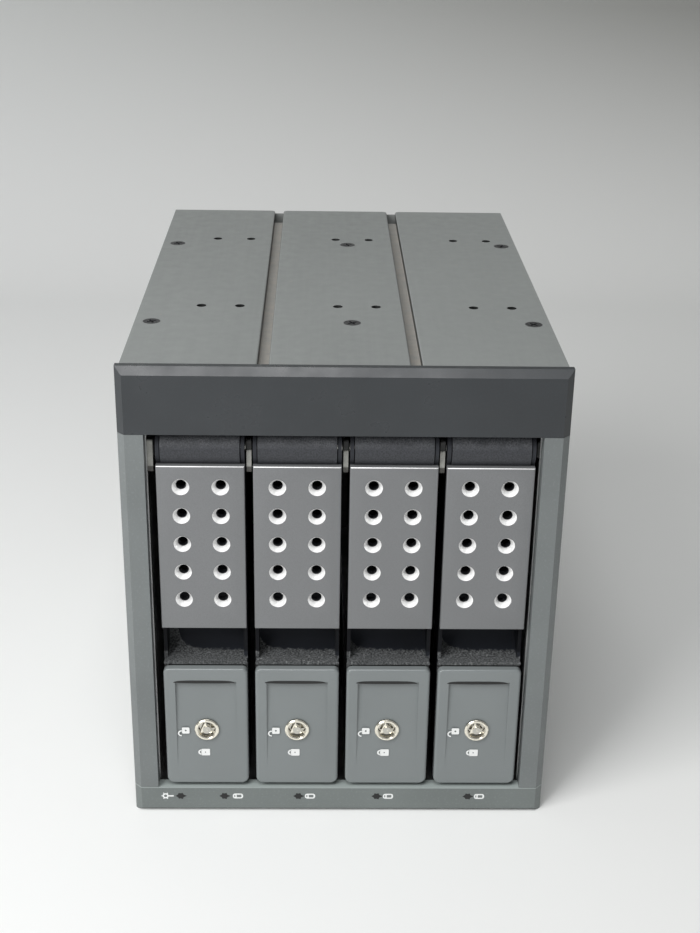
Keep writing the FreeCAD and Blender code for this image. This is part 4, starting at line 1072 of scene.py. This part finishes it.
@dataclass
class Shell:
    """Painted outer shell: panels, covers, rear sheet and the countersunk screws."""

    screw_columns: Sequence[float] = (-57.6 * MM, 2.7 * MM, 57.6 * MM)
    screw_rows: Sequence[float] = (-60.75 * MM, 27.65 * MM)

    def dress_panels(self) -> None:
        """Give the sheets their paint."""
        for node in ("top_panel", "bottom_panel"):
            dress(node, Finish.SHELL)
        for node in ("left_cover", "right_cover", "rear_panel"):
            dress(node, Finish.SIDE_SHELL)

    def make_screws(self) -> None:
        """Replace the plain screws of both panels by ones with a clean cross recess."""
        places = [Vector((x, y, 0)) for x in self.screw_columns for y in self.screw_rows]
        turn = Matrix.Translation((0, 0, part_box("top_panel_screws")[1].z))
        upper = CrossScrews().mesh("panel_screws_top", places, Finish.BLACK_SCREW, turn)
        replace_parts(plain_piece("panel_screws_top", upper, "cage"), "top_panel_screws")
        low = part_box("bottom_panel_screws")[0].z
        turn = Matrix.Translation((0, 0, low)) @ Matrix.Rotation(math.pi, 4, "X")
        mirrored = [Vector((place.x, -place.y, 0)) for place in places]
        lower = CrossScrews(seed=9).mesh("panel_screws_bottom", mirrored, Finish.BLACK_SCREW, turn)
        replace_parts(plain_piece("panel_screws_bottom", lower, "cage"), "bottom_panel_screws")

    def build(self) -> None:
        """Dress and make everything of the shell."""
        self.dress_panels()
        self.make_screws()


@dataclass
class FrontFrame:
    """Front frame: block, stiles and indicator strip, with the strip's symbols and its marks."""

    lamp_x: float = -54.0 * MM
    drive_symbols_x: Sequence[float] = (-31.5 * MM, -9.05 * MM, 15.3 * MM, 43.8 * MM)
    lamp_holes_x: Sequence[float] = (-49.3 * MM, -35.7 * MM, -12.7 * MM, 11.7 * MM, 40.2 * MM)
    symbol_z: float = 5.7 * MM

    def build(self) -> None:
        """Dress the frame and print on its strip."""
        dress("bezel_upper_block", Finish.BLOCK)
        dress("bezel_left_stile", Finish.BAR)
        dress("bezel_right_stile", Finish.BAR)
        dress("led_strip", Finish.STRIP)
        dress("light_pipes", Finish.PIPE)
        dress("indicator_board", Finish.BOARD)
        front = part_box("led_strip")[0].y
        prints = (("strip_lamp_print", Symbol.LAMP, [self.lamp_x], "header_plastic"),
                  ("strip_drive_prints", Symbol.DRIVE, self.drive_symbols_x, "header_plastic"),
                  ("lamp_hole_smudges", Symbol.SMUDGE, self.lamp_holes_x, "black_screw"))
        for name, symbol, columns, record_slot in prints:
            mesh = symbol.mesh([Vector((x, front, self.symbol_z)) for x in columns])
            plain_piece(name, mesh, "cage")


@dataclass
class InnerCage:
    """Galvanised inner plates, nylon rails and the bright comb tabs between the knuckles."""

    gap_middles: Sequence[float] = (-26.9 * MM, 0.6 * MM, 28.1 * MM)
    tab_half_width: float = 0.7 * MM
    end_tab: tuple[float, float] = (-55.7 * MM, -54.1 * MM)
    tab_front: float = 0.35 * MM
    tab_top: float = 121.1 * MM
    tab_bottom: float = 114.3 * MM
    end_tab_top: float = 124.0 * MM
    tab_round: float = 0.5 * MM

    def make_tabs(self) -> None:
        """Make the bent tabs that stand in front of the comb's teeth."""
        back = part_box("strike_comb")[0].y
        front = back - self.tab_front
        low = self.tab_bottom
        shape = bmesh.new()
        spans = [(x - self.tab_half_width, x + self.tab_half_width, self.tab_top) for x in self.gap_middles]
        spans.append((*self.end_tab, self.end_tab_top))
        for low_x, high_x, top in spans:
            profile = [(front, low + self.tab_round), (front + 0.1 * MM, low + 0.1 * MM), (back, low),
                       (back, top), (front + 0.15 * MM, top), (front, top - 0.3 * MM)]
            rims = [[shape.verts.new((x, y, z)) for y, z in profile] for x in (low_x, high_x)]
            shape.faces.new(rims[0])
            shape.faces.new(rims[1][::-1])
            for first in range(len(profile)):
                second = (first + 1) % len(profile)
                shape.faces.new((rims[0][second], rims[0][first], rims[1][first], rims[1][second]))
        mesh = closed_mesh("comb_tabs", shape, Finish.TAB)
        plain_piece("comb_tabs", mesh, "cage")

    def build(self) -> None:
        """Dress the inner cage."""
        for node in ("upper_guide_plate", "lower_guide_plate", "left_inner_side", "right_inner_side",
                     "upper_stiffener", "lower_stiffener"):
            dress(node, Finish.ZINC)
        dress("strike_comb", Finish.COMB)
        self.make_tabs()
        dress("upper_guide_rails", Finish.RAIL)
        dress("lower_guide_rails", Finish.RAIL)


@dataclass
class FacePlate:
    """Aluminium face plate: bevelled sheet with two columns of deep countersunk holes."""

    bevel: float = 0.3 * MM
    bevel_segments: int = 3
    columns: int = 2
    rows: int = 5
    column_pitch: float = 11.3 * MM
    row_pitch: float = 9.05 * MM
    top_margin: float = 6.5 * MM
    outer_radius: float = 2.5 * MM
    inner_radius: float = 1.5 * MM
    cone_depth: float = 1.8 * MM
    cone_lead: float = 0.25
    drill_share: float = 0.9999
    hole_faces: int = 64

    def sheet(self, node: str) -> bpy.types.Mesh:
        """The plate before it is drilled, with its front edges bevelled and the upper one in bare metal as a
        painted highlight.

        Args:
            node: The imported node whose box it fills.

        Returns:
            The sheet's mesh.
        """
        low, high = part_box(node)
        shape = bmesh.new()
        bmesh.ops.create_cube(shape, size=1.0, matrix=Matrix.Translation((low + high) / 2)
                              @ Matrix.Diagonal((*(high - low), 1.0)))
        front = [edge for edge in shape.edges if all(abs(v.co.y - low.y) < 1e-7 for v in edge.verts)]
        bmesh.ops.bevel(shape, geom=front, offset=self.bevel, segments=self.bevel_segments, profile=0.5,
                        affect="EDGES")
        shape.normal_update()
        # painted highlight: only the upward-facing bevel of the top edge gets the bright bare metal
        for face in shape.faces:
            face.material_index = 1 if 0.2 < face.normal.z < 0.9 else 0
        return closed_mesh(node + "_sheet", shape, Finish.PLATE, Finish.BARE)

    def tree(self) -> bpy.types.NodeTree:
        """Tree that drills countersunk holes at every point of a grid.

        Returns:
            The tree, made once and shared by the plates.
        """
        found = bpy.data.node_groups.get("countersunk_grid")
        if found:
            return found
        tree = GeometryTree("countersunk_grid")
        columns = tree.number("Columns", self.columns, True)
        rows = tree.number("Rows", self.rows, True)
        across = tree.number("Column Pitch", self.column_pitch)
        down = tree.number("Row Pitch", self.row_pitch)
        outer = tree.number("Outer Radius", self.outer_radius)
        inner = tree.number("Inner Radius", self.inner_radius)
        deep = tree.number("Cone Depth", self.cone_depth)
        place = [tree.number("Centre " + axis, 0.0) for axis in "XYZ"]
        width = tree.math("MULTIPLY", across, tree.math("SUBTRACT", columns, 1.0))
        height = tree.math("MULTIPLY", down, tree.math("SUBTRACT", rows, 1.0))
        grid = tree.node("MeshGrid", {"Size X": width, "Size Y": height, "Vertices X": columns,
                                      "Vertices Y": rows})
        lead = tree.math("MULTIPLY", deep, self.cone_lead)
        slope = tree.math("DIVIDE", tree.math("SUBTRACT", outer, inner), deep)
        mouth = tree.math("ADD", outer, tree.math("MULTIPLY", lead, slope))
        cone = tree.node("MeshCone", {"Vertices": self.hole_faces, "Radius Top": mouth,
                                      "Radius Bottom": inner, "Depth": tree.math("ADD", deep, lead)})
        below = tree.node("ShaderNodeCombineXYZ", {"Z": tree.math("MULTIPLY", deep, -1.0)})
        cone = tree.node("Transform", {"Geometry": cone.outputs["Mesh"], "Translation": below.outputs[0]})
        drill = tree.node("MeshCylinder", {"Vertices": self.hole_faces,
                                           "Radius": tree.math("MULTIPLY", inner, self.drill_share),
                                           "Depth": tree.math("MULTIPLY", deep, 6.0)})
        cutters = []
        for tool in (cone.outputs[0], drill.outputs["Mesh"]):
            spread = tree.node("InstanceOnPoints", {"Points": grid.outputs["Mesh"], "Instance": tool})
            real = tree.node("RealizeInstances", {"Geometry": spread.outputs[0]})
            bare = tree.node("SetMaterial", {"Geometry": real.outputs[0], "Material": Finish.BARE.made()})
            centre = tree.node("ShaderNodeCombineXYZ", {"X": place[0], "Y": place[1], "Z": place[2]})
            cutters.append(tree.node("Transform", {"Geometry": bare.outputs[0],
                                                   "Translation": centre.outputs[0],
                                                   "Rotation": (math.pi / 2, 0, 0)}))
        drilled = tree.source.outputs["Geometry"]
        for cutter in cutters:
            step = tree.node("MeshBoolean", {"Mesh 1": drilled, "Mesh 2": cutter.outputs[0]},
                             operation="DIFFERENCE", solver="EXACT")
            drilled = step.outputs[0]
        return tree.finish(drilled, None)

    def build(self, bay: int) -> None:
        """Make the plate of one bay.

        Args:
            bay: The bay's number, from 1.
        """
        node = "tray_%d_face_plate" % bay
        low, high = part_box(node)
        middle = high.z - self.top_margin - self.row_pitch * (self.rows - 1) / 2
        mesh = baked("plate_%d" % bay, self.sheet(node), self.tree(),
                     {"Centre X": (low.x + high.x) / 2, "Centre Y": low.y, "Centre Z": middle})
        shade_by_angle(mesh, 28)
        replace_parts(plain_piece("plate_%d" % bay, mesh, "lever_%d" % bay), node)


@dataclass
class Tray:
    """One tray: carrier, moulding, lever, face plate, pin, button, lock and the button's symbols.

    Places on the button's cap are offsets from the lock's middle. Where a size differs from bay to
    bay, it is a row of four values.
    """

    bay: int
    lock_height: float = 29.8 * MM
    open_offset: tuple[float, float] = (-6.45 * MM, -0.35 * MM)
    closed_offset: tuple[float, float] = (-1.0 * MM, -8.2 * MM)
    slit_offset: tuple[float, float] = (-0.5 * MM, 17.0 * MM)
    wiped_shifts: Sequence[float] = (0.0, 3.3 * MM, 3.6 * MM, 2.6 * MM)
    lint_shares: Sequence[float] = (0.05, 0.4, 0.25, 0.3)
    ring_profile: Sequence[tuple[float, float]] = ((3.72, 0.28), (3.66, 0.1), (3.4, -0.12), (3.0, -0.1),
                                                   (2.72, 0.12), (2.6, 0.9))
    ring_faces: int = 56
    post_tip: tuple[float, float, float] = (0.3 * MM, -0.1 * MM, 0.1 * MM)
    post_foot: float = 0.55 * MM
    post_corners: Sequence[tuple[float, float]] = ((100, 2.5), (150, 1.5), (215, 2.6), (270, 1.5), (335, 2.6),
                                                   (40, 1.4))

    @property
    def centre(self) -> float:
        """The tray's middle across."""
        low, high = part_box("tray_%d_button" % self.bay)
        return (low.x + high.x) / 2

    def moulding_finish(self) -> ScoopPlastic:
        """The front moulding's finish, with this bay's own dust and painted shadow edge.

        Returns:
            The finish.
        """
        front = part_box("tray_%d_front" % self.bay)[0]
        place = self.bay - 1
        return ScoopPlastic("tray_moulding_%d" % self.bay, left=front.x - self.wiped_shifts[place],
                            wall_front=front.y, lint_share=self.lint_shares[place])

    def make_lock_face(self) -> None:
        """Add the lock's bright ring and the three-cornered post in its key groove."""
        shape = bmesh.new()
        middle = Vector((self.centre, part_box("tray_%d_lock" % self.bay)[0].y, self.lock_height))
        turns = [2 * math.pi * step / self.ring_faces for step in range(self.ring_faces)]
        rows = []
        for radius, depth in self.ring_profile:
            rims = [Vector((radius * math.sin(turn), depth, radius * math.cos(turn))) * MM for turn in turns]
            rows.append([shape.verts.new(middle + rim) for rim in rims])
        rows.append(rows[0])
        for inner, outer in zip(rows[1:], rows[:-1]):
            for step in range(self.ring_faces):
                after = (step + 1) % self.ring_faces
                shape.faces.new((outer[step], outer[after], inner[after], inner[step]))
        tip = shape.verts.new(middle + Vector(self.post_tip))
        feet = []
        for degrees, reach in self.post_corners:
            turn = math.radians(degrees)
            arm = Vector((reach * MM * math.cos(turn), self.post_foot, reach * MM * math.sin(turn)))
            feet.append(shape.verts.new(middle + arm))
        for first in range(len(feet)):
            shape.faces.new((tip, feet[first], feet[(first + 1) % len(feet)]))
        shape.faces.new(feet[::-1])
        name = "lock_face_%d" % self.bay
        mesh = closed_mesh(name, shape, Finish.CREAM)
        shade_by_angle(mesh, 30)
        plain_piece(name, mesh, "lock_%d" % self.bay)

    def print_symbols(self) -> None:
        """Put the two padlocks and the painted shade under the thumb step on the button's cap."""
        cap_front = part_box("tray_%d_button" % self.bay)[0].y
        marks = ((Symbol.OPEN_PADLOCK, self.open_offset), (Symbol.CLOSED_PADLOCK, self.closed_offset),
                 (Symbol.SLIT, self.slit_offset))
        for symbol, (across, up) in marks:
            place = Vector((self.centre + across, cap_front, self.lock_height + up))
            name = "button_%d_%s_print" % (self.bay, symbol.name.lower())
            plain_piece(name, symbol.mesh([place]), "button_%d" % self.bay)

    def build(self) -> None:
        """Dress and make everything of the tray."""
        prefix = "tray_%d_" % self.bay
        dress(prefix + "frame", Finish.TRAY_STEEL)
        dress(prefix + "front", self.moulding_finish())
        dress(prefix + "lever", Finish.LEVER)
        dress(prefix + "hinge_pin", Finish.BRIGHT)
        dress(prefix + "button", Finish.BUTTON)
        dress(prefix + "lock", Finish.NICKEL)
        FacePlate().build(self.bay)
        self.make_lock_face()
        self.print_symbols()


@dataclass
class RearEnd:
    """Backplane, sockets, fan, wire guard and fan screws."""

    finishes: Sequence[tuple[str, Finish]] = (
        ("backplane_board", Finish.BOARD), ("drive_receptacles", Finish.SOCKET),
        ("data_sockets", Finish.SOCKET), ("power_headers", Finish.HEADER),
        ("backplane_standoffs", Finish.BRASS), ("fan_frame", Finish.FAN), ("fan_rotor", Finish.FAN),
        ("finger_guard", Finish.BRIGHT), ("fan_screws", Finish.STEEL_SCREW))

    def build(self) -> None:
        """Dress everything of the rear end."""
        for node, finish in self.finishes:
            dress(node, finish)


# ---------------------------------------------------------------- floor, light and camera
@dataclass
class Studio:
    """Pale sweep, soft light from the left and from above, and the camera."""

    camera_place: tuple[float, float, float] = (-7.43 * MM, -484.05 * MM, 285.3 * MM)
    pitch: float = 23.78
    yaw: float = 1.38
    roll: float = -0.96
    lens: float = 56.81
    sweep_start: float = 0.42
    sweep_radius: float = 0.25
    sweep_width: float = 3.2
    sweep_front: float = -1.6
    sweep_top: float = 1.8
    floor_left: Colour = (0.92, 0.925, 0.92)
    floor_right: Colour = (0.90, 0.905, 0.89)
    backdrop_left: Colour = (0.61, 0.62, 0.61)
    backdrop_right: Colour = (0.30, 0.30, 0.285)
    surround: Colour = (0.97, 0.99, 1.0)
    surround_strength: float = 0.24
    target: tuple[float, float, float] = (0, 0, 0.08)
    key_place: tuple[float, float, float] = (-0.5, -0.55, 0.6)
    key_power: float = 5.4
    overhead_place: tuple[float, float, float] = (-0.1, -0.55, 1.1)
    overhead_power: float = 5.0
    lamp_size: float = 0.5

    def make_floor(self) -> None:
        """Floor that curves up into a backdrop, with painted shade darkening it to the right and up the
        backdrop.
        """
        points = [(self.sweep_front, 0.0), (self.sweep_start, 0.0)]
        steps = 24
        for step in range(1, steps + 1):
            angle = math.pi / 2 * step / steps
            points.append((self.sweep_start + self.sweep_radius * math.sin(angle),
                           self.sweep_radius * (1 - math.cos(angle))))
        points.append((points[-1][0], self.sweep_top))
        half = self.sweep_width / 2
        verts = [(side * half, y, z) for y, z in points for side in (-1, 1)]
        faces = [(2 * i, 2 * i + 1, 2 * i + 3, 2 * i + 2) for i in range(len(points) - 1)]
        mesh = bpy.data.meshes.new("sweep")
        mesh.from_pydata(verts, [], faces)
        shade_by_angle(mesh, 60)
        tree = ShaderTree("pale_sweep")
        tree.set(Roughness=0.85, Specular_IOR_Level=0.1)
        # painted shade: the colour darkens towards the right and up the backdrop, standing for the light's
        # falloff
        far = tree.ramp(tree.axis("Z"), -0.005, 0.16)
        right = tree.ramp(tree.axis("X"), -0.28, 0.34)
        floor_colour = tree.blend(right, self.floor_left, self.floor_right)
        tree.colour(tree.blend(far, floor_colour, tree.blend(right, self.backdrop_left, self.backdrop_right)))
        mesh.materials.append(tree.material)
        floor = bpy.data.objects.new("sweep", mesh)
        bpy.context.scene.collection.objects.link(floor)

    def lamp(self, name: str, place: Sequence[float], power: float) -> None:
        """Add a square soft light that points at the cage.

        Args:
            name: The lamp's name.
            place: Where it is.
            power: Its power in watts.
        """
        data = bpy.data.lights.new(name, "AREA")
        data.shape = "SQUARE"
        data.size = self.lamp_size
        data.energy = power
        lamp = bpy.data.objects.new(name, data)
        lamp.location = place
        lamp.rotation_euler = (Vector(self.target) - Vector(place)).to_track_quat("-Z", "Y").to_euler()
        bpy.context.scene.collection.objects.link(lamp)

    def make_light(self) -> None:
        """Soft key from the left and front, a lamp overhead and an even pale surround."""
        world = bpy.data.worlds.new("studio")
        world.use_nodes = True
        background = world.node_tree.nodes["Background"]
        background.inputs["Color"].default_value = (*self.surround, 1.0)
        background.inputs["Strength"].default_value = self.surround_strength
        bpy.context.scene.world = world
        self.lamp("key", self.key_place, self.key_power)
        self.lamp("overhead", self.overhead_place, self.overhead_power)

    def make_camera(self) -> None:
        """Camera looking a little down at the front of the cage."""
        pitch, yaw, roll = (math.radians(angle) for angle in (self.pitch, self.yaw, self.roll))
        ahead = Vector((math.sin(yaw) * math.cos(pitch), math.cos(yaw) * math.cos(pitch), -math.sin(pitch)))
        right = Vector((math.cos(yaw), -math.sin(yaw), 0))
        down = ahead.cross(right)
        across = right * math.cos(roll) + down * math.sin(roll)
        upward = right * math.sin(roll) - down * math.cos(roll)
        turn = Matrix((across, upward, -ahead)).transposed().to_4x4()
        data = bpy.data.cameras.new("camera")
        data.lens = self.lens
        data.sensor_width = 36.0
        data.clip_start = 0.01
        data.clip_end = 20.0
        camera = bpy.data.objects.new("camera", data)
        camera.matrix_world = Matrix.Translation(self.camera_place) @ turn
        bpy.context.scene.collection.objects.link(camera)
        bpy.context.scene.camera = camera

    def build(self) -> None:
        """Make the floor, the light and the camera."""
        self.make_floor()
        self.make_light()
        self.make_camera()
        bpy.context.scene.view_settings.view_transform = "Standard"


def main() -> None:
    """Build every sub-assembly in order."""
    logging.basicConfig(level=logging.INFO, format="%(name)s: %(message)s")
    Studio().build()
    Shell().build()
    FrontFrame().build()
    InnerCage().build()
    for bay in range(1, 5):
        Tray(bay).build()
    RearEnd().build()


if __name__ == "__main__":
    main()
